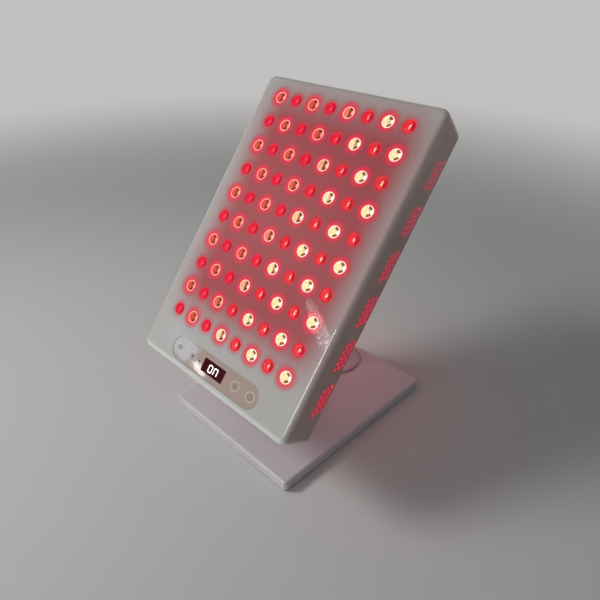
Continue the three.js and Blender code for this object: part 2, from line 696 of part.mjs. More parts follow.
function makeBottomCover() {
  const outline = roundedOutline(baseCorners(BASE_WALL + GAP), BASE_CORNER_R);
  const holes = baseScrewPlaces().map(([x, y]) => [x, y, SCREW_R + SCREW_GAP]);
  let body = solid(prism(outline, BOTTOM_T, holes).translate(0, 0, FOOT_OUT));
  for (const place of Object.values(footPlaces())) {
    const recess = rod('z', FOOT_R + GAP, FOOT_OUT - OVERRUN, FOOT_OUT + FOOT_SINK + GAP);
    body = body.subtract(solid(recess.translate(place.x, place.y, 0)));
  }
  for (const [x, y] of baseScrewPlaces()) {
    const sink = rod('z', SCREW_HEAD_R + SCREW_GAP, FOOT_OUT - OVERRUN, FOOT_OUT + BOTTOM_T / 2);
    body = body.subtract(solid(sink.translate(x, y, 0)));
  }
  return geometryOf(body);
}

// A base screw along Z whose head lies in the bottom cover's counterbore.
function makeBaseScrew(x, y) {
  const seatZ = FOOT_OUT + BOTTOM_T / 2 - GAP;
  const profile = [
    new THREE.Vector2(0, FOOT_OUT),
    new THREE.Vector2(SCREW_HEAD_R, FOOT_OUT),
    new THREE.Vector2(SCREW_HEAD_R, seatZ),
    new THREE.Vector2(SCREW_R, seatZ),
    new THREE.Vector2(SCREW_R, FOOT_OUT + BASE_SCREW_L),
    new THREE.Vector2(0, FOOT_OUT + BASE_SCREW_L),
  ];
  return new THREE.LatheGeometry(profile, SMALL_SIDES).rotateX(Math.PI / 2).translate(x, y, 0);
}

function makeFoot(place) {
  return rod('z', FOOT_R, 0, FOOT_OUT + FOOT_SINK).translate(place.x, place.y, 0);
}

// The oblong foot that closes the recess around the arm, with a softened upper edge.
function makeCollar() {
  const fromZ = BASE_TOP_Z - SEAM_DEEP + GAP;
  const toZ = BASE_TOP_Z + COLLAR_UP;
  const ring = (inset, z) => roundedOutline(
    rectangle(COLLAR_W - 2 * inset, COLLAR_D - 2 * inset), (COLLAR_D / 2 - inset) * PILL_SHARE, 2 * ARC_STEPS,
  ).map((p) => new THREE.Vector3(p.x, p.y, z));
  const rings = [ring(0, fromZ)];
  for (let k = 0; k <= ARC_STEPS; k++) {
    const angle = (k / ARC_STEPS) * (Math.PI / 2);
    rings.push(ring(COLLAR_EDGE_R * (1 - Math.cos(angle)), toZ - COLLAR_EDGE_R * (1 - Math.sin(angle))));
  }
  const hole = roundedOutline(
    rectangle(ARM_FOOT_W + 2 * GAP, ARM_FOOT_D + 2 * GAP), (ARM_FOOT_D / 2) * PILL_SHARE, ARC_STEPS,
  );
  const opening = prism(hole, toZ - fromZ + 2 * OVERRUN).translate(0, 0, fromZ - OVERRUN);
  return geometryOf(solid(loft(rings)).subtract(solid(opening))).translate(0, ARM_Y, 0);
}

// The arm rises from its foot, bends towards the panel and ends in the hinge barrel.
function makeArm() {
  const foot = new THREE.Vector3(0, ARM_Y, BASE_TOP_Z - SEAM_DEEP + GAP);
  const top = new THREE.Vector3(0, HINGE_Y, HINGE_Z);
  const rise = top.z - foot.z;
  const path = new THREE.CubicBezierCurve3(
    foot,
    new THREE.Vector3(0, ARM_Y, foot.z + rise / 3),
    new THREE.Vector3(0, HINGE_Y + HINGE_AHEAD * ARM_AHEAD_SHARE, top.z - rise / 3),
    top,
  );
  const rings = [];
  for (let k = 0; k <= ARM_STEPS; k++) {
    const share = k / ARM_STEPS;
    const middle = path.getPoint(share);
    const along = path.getTangent(share);
    const normal = new THREE.Vector3(0, along.z, -along.y);
    const wide = THREE.MathUtils.lerp(ARM_FOOT_W, ARM_TOP_W, share);
    const deep = THREE.MathUtils.lerp(ARM_FOOT_D, ARM_TOP_D, share);
    const section = roundedOutline(rectangle(wide, deep), (deep / 2) * PILL_SHARE);
    rings.push(section.map((p) => middle.clone().addScaledVector(normal, p.y).setX(p.x)));
  }
  let body = solid(loft(rings));
  const barrel = rod('x', BARREL_R, -BARREL_W / 2, BARREL_W / 2).translate(0, HINGE_Y, HINGE_Z);
  const bore = rod('x', PIN_R + GAP, -BARREL_W, BARREL_W).translate(0, HINGE_Y, HINGE_Z);
  body = body.add(solid(barrel)).subtract(solid(bore));
  const boltEnd = FOOT_OUT + BOTTOM_T + 2 * GAP + ARM_BOLT_L;
  for (const side of [-1, 1]) {
    const pilot = rod('z', ARM_BOLT_R + SCREW_GAP, foot.z - OVERRUN, boltEnd + GAP, SMALL_SIDES);
    body = body.subtract(solid(pilot.translate(side * ARM_BOLT_X, ARM_Y, 0)));
  }
  return geometryOf(body);
}

function makeArmBolt(side) {
  const fromZ = FOOT_OUT + BOTTOM_T + 2 * GAP;
  const profile = [
    new THREE.Vector2(0, fromZ),
    new THREE.Vector2(ARM_BOLT_HEAD_R, fromZ),
    new THREE.Vector2(ARM_BOLT_HEAD_R, fromZ + ARM_BOLT_HEAD_T - GAP),
    new THREE.Vector2(ARM_BOLT_R, fromZ + ARM_BOLT_HEAD_T - GAP),
    new THREE.Vector2(ARM_BOLT_R, fromZ + ARM_BOLT_L),
    new THREE.Vector2(0, fromZ + ARM_BOLT_L),
  ];
  const bolt = new THREE.LatheGeometry(profile, SMALL_SIDES).rotateX(Math.PI / 2);
  return bolt.translate(side * ARM_BOLT_X, ARM_Y, 0);
}

function makePin() {
  return rod('x', PIN_R, -EAR_OUTER_X, EAR_OUTER_X);
}

// A domed cap that closes the hinge on one side, 0 for the left one and 1 for the right one.
function makePinCap(mirror) {
  const fromX = EAR_OUTER_X + GAP;
  const profile = [
    new THREE.Vector2(0, fromX),
    new THREE.Vector2(CAP_R, fromX),
    new THREE.Vector2(CAP_R, fromX + CAP_T / 2),
    new THREE.Vector2(CAP_R * CAP_TOP_SHARE, fromX + CAP_T),
    new THREE.Vector2(0, fromX + CAP_T),
  ];
  const cap = new THREE.LatheGeometry(profile, ROUND_SIDES).rotateZ(-Math.PI / 2);
  return mirror ? cap : cap.rotateY(Math.PI);
}

function makeWasher(side) {
  const profile = [
    new THREE.Vector2(PIN_R + GAP, 0),
    new THREE.Vector2(WASHER_R, 0),
    new THREE.Vector2(WASHER_R, WASHER_T),
    new THREE.Vector2(PIN_R + GAP, WASHER_T),
    new THREE.Vector2(PIN_R + GAP, 0),
  ];
  const washer = new THREE.LatheGeometry(profile, ROUND_SIDES).rotateZ(-Math.PI / 2);
  const fromX = BARREL_W / 2 + GAP;
  return washer.translate(side > 0 ? fromX : -fromX - WASHER_T, 0, 0);
}

const finish = {
  gloss: { color: 0xe9e7e6, roughness: 0.22, metalness: 0 },
  satin: { color: 0xdedbe0, roughness: 0.42, metalness: 0 },
  lens: { color: 0xd8203a, roughness: 0.15, metalness: 0 },
  window: { color: 0xb9ada6, roughness: 0.25, metalness: 0 },
  display: { color: 0x1a0508, roughness: 0.2, metalness: 0 },
  alloy: { color: 0xb9bcc0, roughness: 0.4, metalness: 1 },
  steel: { color: 0x8d9095, roughness: 0.35, metalness: 1 },
  board: { color: 0x1d4a33, roughness: 0.5, metalness: 0 },
  black: { color: 0x17181a, roughness: 0.5, metalness: 0 },
  rubber: { color: 0x222325, roughness: 0.85, metalness: 0 },
};

function piece(parent, name, geometry, look) {
  const mesh = new THREE.Mesh(geometry, new THREE.MeshStandardMaterial(finish[look]));
  mesh.name = name;
  parent.add(mesh);
  return mesh;
}

function buildStand(stand) {
  piece(stand, 'base_shell', makeBaseShell(), 'satin');
  piece(stand, 'base_ballast', makeBallast(), 'steel');
  piece(stand, 'base_bottom', makeBottomCover(), 'satin');
  for (const [corner, place] of Object.entries(footPlaces())) {
    piece(stand, `foot_${corner}`, makeFoot(place), 'rubber');
  }
  baseScrewPlaces().forEach(([x, y], i) => piece(stand, `base_screw_${i + 1}`, makeBaseScrew(x, y), 'steel'));
  piece(stand, 'arm_collar', makeCollar(), 'satin');
  piece(stand, 'arm', makeArm(), 'satin');
  piece(stand, 'arm_bolt_left', makeArmBolt(-1), 'steel');
  piece(stand, 'arm_bolt_right', makeArmBolt(1), 'steel');
}

// The pin, caps and washers lie on the hinge axis and stay with the arm.
function buildHinge(axle) {
  piece(axle, 'hinge_pin', makePin(), 'steel');
  piece(axle, 'hinge_cap_left', makePinCap(0), 'satin');
  piece(axle, 'hinge_cap_right', makePinCap(1), 'satin');
  piece(axle, 'hinge_washer_left', makeWasher(-1), 'steel');
  piece(axle, 'hinge_washer_right', makeWasher(1), 'steel');
}

function buildPanel(panel) {
  piece(panel, 'housing', makeHousing(), 'gloss');
  piece(panel, 'led_board', makeLedBoard(), 'lens');
  piece(panel, 'heat_sink', makeHeatSink(), 'alloy');
  piece(panel, 'driver_board', makeDriverBoard(), 'board');
  piece(panel, 'control_board', makeControlBoard(), 'board');
  piece(panel, 'display', makeDisplay(), 'display');
  piece(panel, 'control_window', makeControlWindow(), 'window');
  piece(panel, 'rear_cover', makeRearCover(), 'gloss');
  piece(panel, 'fan_frame', makeFanFrame(), 'black');
  piece(panel, 'fan_rotor', makeFanRotor(), 'black');
  piece(panel, 'inlet', makeInlet(), 'black');
  piece(panel, 'inlet_pin_left', makeInletPin(-1), 'steel');
  piece(panel, 'inlet_pin_right', makeInletPin(1), 'steel');
  piece(panel, 'hinge_bracket', makeBracket(), 'satin');
  const coverSeatY = FACE_Y + PANEL_BACK_Y + COVER_T + GAP;
  postPlaces().forEach(([x, z], i) => {
    piece(panel, `cover_screw_${i + 1}`, makeScrew(x, z, coverSeatY, SCREW_L), 'steel');
  });
  const bracketSeatY = coverSeatY + BRACKET_T + GAP;
  bracketScrewPlaces().forEach(([x, z], i) => {
    const screw = makeScrew(x, z, bracketSeatY, BRACKET_T + COVER_T + BOSS_L);
    piece(panel, `bracket_screw_${i + 1}`, screw, 'steel');
  });
}

const device = new THREE.Group();

const stand = new THREE.Group();
buildStand(stand);
device.add(stand);

const axle = new THREE.Group();
axle.position.set(0, HINGE_Y, HINGE_Z);
buildHinge(axle);
device.add(axle);

const panel = new THREE.Group();
panel.position.set(0, HINGE_Y, HINGE_Z);
panel.rotation.x = -THREE.MathUtils.degToRad(LEAN_DEG);
buildPanel(panel);
device.add(panel);

const bounds = new THREE.Box3().setFromObject(device, true);
device.position.y = -bounds.getCenter(new THREE.Vector3()).y;

export default device;
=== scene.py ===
"""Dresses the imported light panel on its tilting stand, and sets up the studio around it.

Lengths are millimetres until a mesh is placed, and metres from then on. Pieces of the panel are
drawn in the panel's own frame: X across, Y into the depth and Z up along the face, with the hinge
axis at the origin.
"""

from __future__ import annotations

import logging
import math
from collections.abc import Iterable, Sequence
from dataclasses import dataclass, field
from enum import Enum

import bmesh
import bpy
from mathutils import Matrix, Vector


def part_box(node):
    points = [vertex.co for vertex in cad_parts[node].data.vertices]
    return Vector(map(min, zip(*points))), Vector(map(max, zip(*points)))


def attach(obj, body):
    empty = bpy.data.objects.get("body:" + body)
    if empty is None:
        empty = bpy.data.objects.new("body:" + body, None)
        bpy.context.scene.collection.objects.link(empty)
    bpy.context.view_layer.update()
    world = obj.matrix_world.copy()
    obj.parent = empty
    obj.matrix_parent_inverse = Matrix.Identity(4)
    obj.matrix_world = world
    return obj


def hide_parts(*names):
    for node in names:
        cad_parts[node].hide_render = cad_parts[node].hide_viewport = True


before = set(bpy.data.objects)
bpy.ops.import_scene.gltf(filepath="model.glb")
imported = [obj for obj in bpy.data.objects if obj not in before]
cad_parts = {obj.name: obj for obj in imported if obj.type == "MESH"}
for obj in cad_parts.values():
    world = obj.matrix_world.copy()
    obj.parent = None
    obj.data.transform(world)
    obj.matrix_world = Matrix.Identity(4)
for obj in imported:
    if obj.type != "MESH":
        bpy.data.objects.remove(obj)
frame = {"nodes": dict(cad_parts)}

log = logging.getLogger("light_panel")

MM = 0.001
Colour = tuple[float, float, float]
Place = tuple[float, float, float]
Point = tuple[float, float]
Shape = bmesh.types.BMesh
Edge = bmesh.types.BMEdge
Vert = bmesh.types.BMVert
Socket = bpy.types.NodeSocket
Node = bpy.types.Node
Tree = bpy.types.NodeTree
Material = bpy.types.Material

# Sizes that several pieces share, in millimetres and in the panel's own frame
FACE = -52.0  # depth of the panel's face
STRIP_RISE = -130.8  # height of the control window's middle
FAN_RISE = 76.0  # height of the fan's axis
SCREEN_W = 28.4  # width of the display
SCREEN_H = 12.8  # height of the display
PIN_R = 4.0  # radius of the hinge pin
SCREW_HOLE_R = 1.8  # radius of a screw's hole
GAP = 0.3  # between pieces that sit in each other
ROUND_SHARE = 0.97  # of half the width, at an oblong's ends, whose corners must not meet
NEAR = 0.01  # edges this close to a level lie on it
BRACKET_SPOTS: list[Place] = [(x, 0.0, z) for x in (-24.0, 24.0) for z in (-18.0, 18.0)]


class Body(Enum):
    """The rigid bodies that a piece can ride on."""

    STAND = "stand"
    PANEL = "panel"
    FAN = "fan"


class Light(Enum):
    """The two kinds of lens, by the light behind them."""

    BRIGHT = "bright"
    DEEP = "deep"


class LensPart(Enum):
    """The parts of a lens, valued by their place in its list of finishes."""

    RIM = 0
    CUP = 1
    WINDOW = 2
    WEDGE = 3
    CORE = 4


class Mark(Enum):
    """The signs printed on the touch keys."""

    BARS = "bars"
    CLOCK = "clock"
    ARROW = "arrow"
    POWER = "power"


@dataclass(frozen=True)
class Datum:
    """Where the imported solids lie, read from the frame so that new pieces follow them.

    Attributes:
        hinge: Middle of the hinge axis, in millimetres.
        base_y: Middle of the base from front to back, in millimetres.
        lean_deg: How far the panel leans back from upright.
    """

    hinge: Vector
    base_y: float
    lean_deg: float = 40.75

    @classmethod
    def read(cls) -> Datum:
        """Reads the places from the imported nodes."""
        low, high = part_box("hinge_pin")
        base_low, base_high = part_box("base_shell")
        return cls((low + high) / 2 / MM, (base_low.y + base_high.y) / 2 / MM)

    @property
    def panel(self) -> Matrix:
        """Carries the panel's own frame to the table's, in millimetres."""
        lean = Matrix.Rotation(-math.radians(self.lean_deg), 4, "X")
        return Matrix.Translation(self.hinge) @ lean

    @property
    def base(self) -> Matrix:
        """Carries the base's frame to the table's, in millimetres."""
        return Matrix.Translation((0.0, self.base_y, 0.0))

    @property
    def axle(self) -> Matrix:
        """Carries a frame on the hinge axis to the table's, in millimetres."""
        return Matrix.Translation(self.hinge)


# Mesh helpers


def rim(bm: Shape, level: float, axis: int = 1) -> list[Edge]:
    """Lists the edges that lie at a level.

    Args:
        bm: The mesh.
        level: The level.
        axis: 0, 1 or 2, for a level along X, Y or Z.

    Returns:
        The edges.
    """
    return [e for e in bm.edges if all(abs(v.co[axis] - level) < NEAR for v in e.verts)]


def soften(bm: Shape, edges: Iterable[Edge], radius: float, steps: int = 3) -> None:
    """Rounds edges.

    Args:
        bm: The mesh.
        edges: The edges to round.
        radius: Radius of the rounding.
        steps: Facets across the rounding.
    """
    bmesh.ops.bevel(
        bm, geom=list(edges), offset=radius, offset_type="OFFSET", segments=steps,
        profile=0.5, affect="EDGES", clamp_overlap=True, material=-1,
    )


def raised(outline: Iterable[Place], by: Place) -> Shape:
    """Draws an outline out into a solid.

    Args:
        outline: The outline's points, in order.
        by: How far it is drawn out, along X, Y and Z.

    Returns:
        The solid as a new mesh.
    """
    bm = bmesh.new()
    face = bm.faces.new([bm.verts.new(point) for point in outline])
    made = bmesh.ops.extrude_face_region(bm, geom=[face])
    lifted = [v for v in made["geom"] if isinstance(v, Vert)]
    bmesh.ops.translate(bm, vec=by, verts=lifted)
    return bm


def slab(
    corners: Sequence[Point], corner_radius: float, front: float, back: float, steps: int = 8
) -> Shape:
    """Makes a slab with rounded corners, which lies across Y.

    Args:
        corners: Outline as (x, z), in order.
        corner_radius: Radius of the outline's corners.
        front: The slab's lower Y.
        back: The slab's higher Y.
        steps: Facets around each corner.

    Returns:
        The slab as a new mesh.
    """
    bm = raised([(x, back, z) for x, z in corners], (0.0, front - back, 0.0))
    if corner_radius > 0.0:
        upright = [e for e in bm.edges if abs(e.verts[0].co.y - e.verts[1].co.y) > (back - front) / 2]
        soften(bm, upright, corner_radius, steps)
    bmesh.ops.recalc_face_normals(bm, faces=bm.faces)
    return bm


def block(width: float, height: float) -> list[Point]:
    """Lists the corners of a rectangle around the origin.

    Args:
        width: Size along the first axis.
        height: Size along the second axis.

    Returns:
        The corners in order.
    """
    x, z = width / 2, height / 2
    return [(-x, -z), (x, -z), (x, z), (-x, z)]


def oblong(width: float, height: float, front: float, back: float, steps: int) -> Shape:
    """Makes a slab across Y with round ends.

    Args:
        width: Size along X.
        height: Size along Z.
        front: The slab's lower Y.
        back: The slab's higher Y.
        steps: Facets around each corner.

    Returns:
        The slab.
    """
    return slab(block(width, height), min(width, height) / 2 * ROUND_SHARE, front, back, steps)


def rotated(bm: Shape, angle: float, about: str) -> Shape:
    """Turns a mesh about an axis through the origin and hands it back."""
    bmesh.ops.rotate(bm, cent=(0, 0, 0), matrix=Matrix.Rotation(angle, 3, about), verts=bm.verts)
    return bm


def turned(profile: Sequence[Point], sides: int, axis: str = "Y") -> Shape:
    """Turns a profile of (radius, along) about an axis.

    Args:
        profile: The profile's points; the first and last may lie on the axis.
        sides: Facets around the axis.
        axis: X, Y or Z.

    Returns:
        The closed turned mesh.
    """
    bm = bmesh.new()
    verts = [bm.verts.new((r, along, 0.0)) for r, along in profile]
    edges = [bm.edges.new(pair) for pair in zip(verts, verts[1:])]
    if profile[0][0] > 0.0 and profile[-1][0] > 0.0:
        edges.append(bm.edges.new((verts[-1], verts[0])))
    bmesh.ops.spin(
        bm, geom=verts + edges, cent=(0, 0, 0), axis=(0, 1, 0), angle=math.tau, steps=sides, use_merge=True
    )
    bmesh.ops.remove_doubles(bm, verts=bm.verts, dist=1e-4)
    bmesh.ops.recalc_face_normals(bm, faces=bm.faces)
    if axis == "X":
        rotated(bm, -math.pi / 2, "Z")
    if axis == "Z":
        rotated(bm, math.pi / 2, "X")
    return bm


def rod(radius: float, start: float, end: float, sides: int, axis: str = "Y") -> Shape:
    """Makes a plain round rod.

    Args:
        radius: Its radius.
        start: Where it starts along the axis.
        end: Where it ends.
        sides: Facets around it.
        axis: X, Y or Z.

    Returns:
        The rod.
    """
    return turned([(0, start), (radius, start), (radius, end), (0, end)], sides, axis)


def moved(bm: Shape, x: float = 0.0, y: float = 0.0, z: float = 0.0) -> Shape:
    """Moves a mesh and hands it back."""
    bmesh.ops.translate(bm, vec=(x, y, z), verts=bm.verts)
    return bm


def joined(parts: Iterable[Shape]) -> Shape:
    """Puts several meshes into one, which takes them over.

    Args:
        parts: The meshes, which are freed.

    Returns:
        The one mesh.
    """
    whole = bmesh.new()
    for part in parts:
        carrier = bpy.data.meshes.new("carrier")
        part.to_mesh(carrier)
        part.free()
        whole.from_mesh(carrier)
        bpy.data.meshes.remove(carrier)
    return whole


def repeated(part: Shape, places: Iterable[Place]) -> Shape:
    """Sets copies of a mesh at several places.

    Args:
        part: The mesh to repeat, which is freed.
        places: Where each copy goes.

    Returns:
        All copies in one mesh.
    """
    whole = bmesh.new()
    carrier = bpy.data.meshes.new("carrier")
    part.to_mesh(carrier)
    part.free()
    for place in places:
        first = len(whole.verts)
        whole.from_mesh(carrier)
        whole.verts.ensure_lookup_table()
        bmesh.ops.translate(whole, vec=place, verts=whole.verts[first:])
    bpy.data.meshes.remove(carrier)
    return whole


def add_to(mesh: bpy.types.Mesh, part: Shape, place: Matrix) -> None:
    """Adds a shape to a mesh that is placed already.

    Args:
        mesh: The placed mesh, in metres.
        part: The shape in millimetres, which is freed.
        place: Carries the shape's frame to the table's, in millimetres.
    """
    part.transform(Matrix.Scale(MM, 4) @ place)
    whole = bmesh.new()
    whole.from_mesh(mesh)
    carrier = bpy.data.meshes.new("carrier")
    part.to_mesh(carrier)
    part.free()
    whole.from_mesh(carrier)
    whole.to_mesh(mesh)
    whole.free()
    bpy.data.meshes.remove(carrier)


def paint(bm: Shape, index: int) -> Shape:
    """Gives every face one material index and hands the mesh back."""
    for face in bm.faces:
        face.material_index = index
    return bm


def ring(radius: float, width: float, front: float, back: float, sides: int = 32) -> Shape:
    """Makes a flat ring across Y.

    Args:
        radius: Outer radius.
        width: Width of the ring.
        front: Its lower Y.
        back: Its higher Y.
        sides: Facets around.

    Returns:
        The ring.
    """
    inner = radius - width
    return turned([(inner, front), (radius, front), (radius, back), (inner, back)], sides)


def bar(length: float, width: float, front: float, back: float, tip: float) -> Shape:
    """Makes an upright bar across Y, with pointed ends.

    Args:
        length: Size along Z.
        width: Size along X.
        front: Its lower Y.
        back: Its higher Y.
        tip: Length of each pointed end.

    Returns:
        The bar.
    """
    x, z = width / 2, length / 2
    corners = [(0.0, -z), (x, tip - z), (x, z - tip), (0.0, z), (-x, z - tip), (-x, tip - z)]
    return slab(corners, 0.0, front, back)


def laid_over(bm: Shape) -> Shape:
    """Turns an upright shape a quarter about Y and hands it back."""
    return rotated(bm, math.pi / 2, "Y")


@dataclass
class Piece:
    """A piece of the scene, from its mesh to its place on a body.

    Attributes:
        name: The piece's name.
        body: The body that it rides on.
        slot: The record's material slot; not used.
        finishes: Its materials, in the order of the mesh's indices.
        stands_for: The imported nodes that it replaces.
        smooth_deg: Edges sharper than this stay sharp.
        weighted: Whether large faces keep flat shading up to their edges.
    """

    name: str
    body: Body
    slot: str
    finishes: Sequence[Material]
    stands_for: Sequence[str] = ()
    smooth_deg: float = 38.0
    weighted: bool = False

    def make(self, bm: Shape, place: Matrix) -> None:
        """Turns a mesh in millimetres into the piece, at the origin with its place in its mesh.

        Args:
            bm: The mesh, which is freed.
            place: Carries the mesh's frame to the table's, in millimetres.
        """
        bm.transform(Matrix.Scale(MM, 4) @ place)
        mesh = bpy.data.meshes.new(self.name)
        bm.to_mesh(mesh)
        bm.free()
        self.dress(mesh)

    def dress(self, mesh: bpy.types.Mesh) -> None:
        """Shades a placed mesh, gives it its finishes and sets it on its body.

        Args:
            mesh: The mesh, in metres.
        """
        piece = bpy.data.objects.new(self.name, mesh)
        bpy.context.scene.collection.objects.link(piece)
        if not mesh.materials:
            for finish in self.finishes:
                mesh.materials.append(finish)
        mesh.shade_smooth()
        mesh.set_sharp_from_angle(angle=math.radians(self.smooth_deg))
        if self.weighted:
            normals = piece.modifiers.new("even_faces", "WEIGHTED_NORMAL")
            normals.keep_sharp = True
        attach(piece, self.body.value)
        if self.stands_for:
            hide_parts(*self.stands_for)
        log.info("%s: %d faces", self.name, len(mesh.polygons))


@dataclass
class Carving:
    """Cuts tools out of a body, and keeps the faces of each cut in the tool's finish.

    Attributes:
        blank: The body, in millimetres.
        finishes: Materials by index, shared by the body and its tools.
        tools: The cutting meshes, in millimetres.
    """

    blank: Shape
    finishes: Sequence[Material]
    tools: list[Shape] = field(default_factory=list)

    def carve(self, place: Matrix) -> bpy.types.Mesh:
        """Makes the cuts.

        Args:
            place: Carries the body's frame to the table's, in millimetres.

        Returns:
            The carved mesh, in metres.
        """
        body = self._holder("blank", self.blank, place)
        cutters = [self._holder("tool", tool, place) for tool in self.tools]
        for cutter in cutters:
            cut = body.modifiers.new("cut", "BOOLEAN")
            cut.operation = "DIFFERENCE"
            cut.solver = "EXACT"
            cut.material_mode = "INDEX"
            cut.object = cutter
        graph = bpy.context.evaluated_depsgraph_get()
        carved = bpy.data.meshes.new_from_object(body.evaluated_get(graph))
        for holder in [body, *cutters]:
            mesh = holder.data
            bpy.data.objects.remove(holder)
            bpy.data.meshes.remove(mesh)
        return carved

    def _holder(self, name: str, bm: Shape, place: Matrix) -> bpy.types.Object:
        """Puts a mesh into a passing object with all the finishes.

        Args:
            name: The object's name.
            bm: The mesh, which is freed.
            place: Carries the mesh's frame to the table's, in millimetres.

        Returns:
            The object.
        """
        bmesh.ops.recalc_face_normals(bm, faces=bm.faces)
        bm.transform(Matrix.Scale(MM, 4) @ place)
        mesh = bpy.data.meshes.new(name)
        bm.to_mesh(mesh)
        bm.free()
        for finish in self.finishes:
            mesh.materials.append(finish)
        holder = bpy.data.objects.new(name, mesh)
        bpy.context.scene.collection.objects.link(holder)
        return holder


# Material helpers


class Pen:
    """Draws the nodes of one shader tree."""

    def __init__(self, tree: Tree) -> None:
        """Starts on a tree.

        Args:
            tree: The tree that the nodes go into.
        """
        self.tree = tree

    def add(self, kind: str) -> Node:
        """Adds a node of a kind."""
        return self.tree.nodes.new(kind)

    def feed(self, socket: Socket, value: object) -> None:
        """Links a socket to another, or sets it.

        Args:
            socket: The input to feed.
            value: Another socket, or a plain value.
        """
        if isinstance(value, Socket):
            self.tree.links.new(value, socket)
        else:
            socket.default_value = value

    def spot(self) -> Socket:
        """Gives the place on the object, in metres."""
        return self.add("ShaderNodeTexCoord").outputs["Object"]

    def math(self, operation: str, *values: object, clamp: bool = False) -> Socket:
        """Adds a Math node.

        Args:
            operation: The node's operation.
            values: Its inputs, sockets or numbers.
            clamp: Whether the result stays within 0 and 1.

        Returns:
            The result.
        """
        node = self.add("ShaderNodeMath")
        node.operation = operation
        node.use_clamp = clamp
        for socket, value in zip(node.inputs, values):
            self.feed(socket, value)
        return node.outputs[0]

    def plus(self, first: object, second: object, clamp: bool = False) -> Socket:
        """Adds two values."""
        return self.math("ADD", first, second, clamp=clamp)

    def times(self, first: object, second: object) -> Socket:
        """Multiplies two values."""
        return self.math("MULTIPLY", first, second)

    def most(self, first: object, second: object) -> Socket:
        """Gives the larger of two values."""
        return self.math("MAXIMUM", first, second)

    def apart(self, first: object, second: object) -> Socket:
        """Gives how far two values lie apart."""
        return self.math("ABSOLUTE", self.math("SUBTRACT", first, second))

    def fade(
        self, value: object, start: float, end: float, high: object = 1.0, low: object = 0.0
    ) -> Socket:
        """Falls smoothly from high to low as a value goes from start to end.

        Args:
            value: The value to follow.
            start: Where the fall starts.
            end: Where it ends.
            high: The result at the start.
            low: The result at the end.

        Returns:
            The result.
        """
        node = self.add("ShaderNodeMapRange")
        node.interpolation_type = "SMOOTHSTEP"
        for name, part in (
            ("Value", value), ("From Min", start), ("From Max", end), ("To Min", high), ("To Max", low)
        ):
            self.feed(node.inputs[name], part)
        return node.outputs["Result"]

    def grow(self, value: object, start: float, end: float) -> Socket:
        """Rises smoothly from 0 to 1 as a value goes from start to end."""
        return self.fade(value, start, end, 0.0, 1.0)

    def mix(self, share: object, first: object, second: object, blend: str = "MIX") -> Socket:
        """Mixes two colours.

        Args:
            share: The second colour's share.
            first: A colour or socket.
            second: A colour or socket.
            blend: How the two meet.

        Returns:
            The mixed colour.
        """
        node = self.add("ShaderNodeMix")
        node.data_type = "RGBA"
        node.blend_type = blend
        self.feed(node.inputs["Factor"], share)
        self.feed(node.inputs[6], self._tint(first))
        self.feed(node.inputs[7], self._tint(second))
        return node.outputs[2]

    def noise(self, place: Socket, scale: float, detail: float = 3.0, rough: float = 0.5) -> Socket:
        """Adds a noise pattern.

        Args:
            place: The coordinates.
            scale: Features per metre.
            detail: Octaves.
            rough: How much the finer octaves count.

        Returns:
            The noise, around one half.
        """
        node = self.add("ShaderNodeTexNoise")
        self.feed(node.inputs["Vector"], place)
        self.feed(node.inputs["Scale"], scale)
        node.inputs["Detail"].default_value = detail
        node.inputs["Roughness"].default_value = rough
        return node.outputs["Fac"]

    def bump(self, height: object, strength: float, distance: float) -> Socket:
        """Adds a bump.

        Args:
            height: The height pattern.
            strength: The share of the bump.
            distance: Its height in metres.

        Returns:
            The normal.
        """
        node = self.add("ShaderNodeBump")
        self.feed(node.inputs["Height"], height)
        node.inputs["Strength"].default_value = strength
        node.inputs["Distance"].default_value = distance
        return node.outputs["Normal"]

    def fill(self, node: Node, **values: object) -> None:
        """Feeds a node's inputs.

        Args:
            node: The node.
            values: Its inputs by name, with underscores for spaces.
        """
        for name, value in values.items():
            self.feed(node.inputs[name.replace("_", " ")], value)

    def group(self, tree: Tree, **values: object) -> Node:
        """Places a node group and feeds its inputs.

        Args:
            tree: The group.
            values: Its inputs by name, with underscores for spaces.

        Returns:
            The group's node.
        """
        node = self.add("ShaderNodeGroup")
        node.node_tree = tree
        self.fill(node, **values)
        return node

    @staticmethod
    def _tint(value: object) -> object:
        """Gives a plain colour its fourth number."""
        if isinstance(value, tuple) and len(value) == 3:
            return (*value, 1.0)
        return value


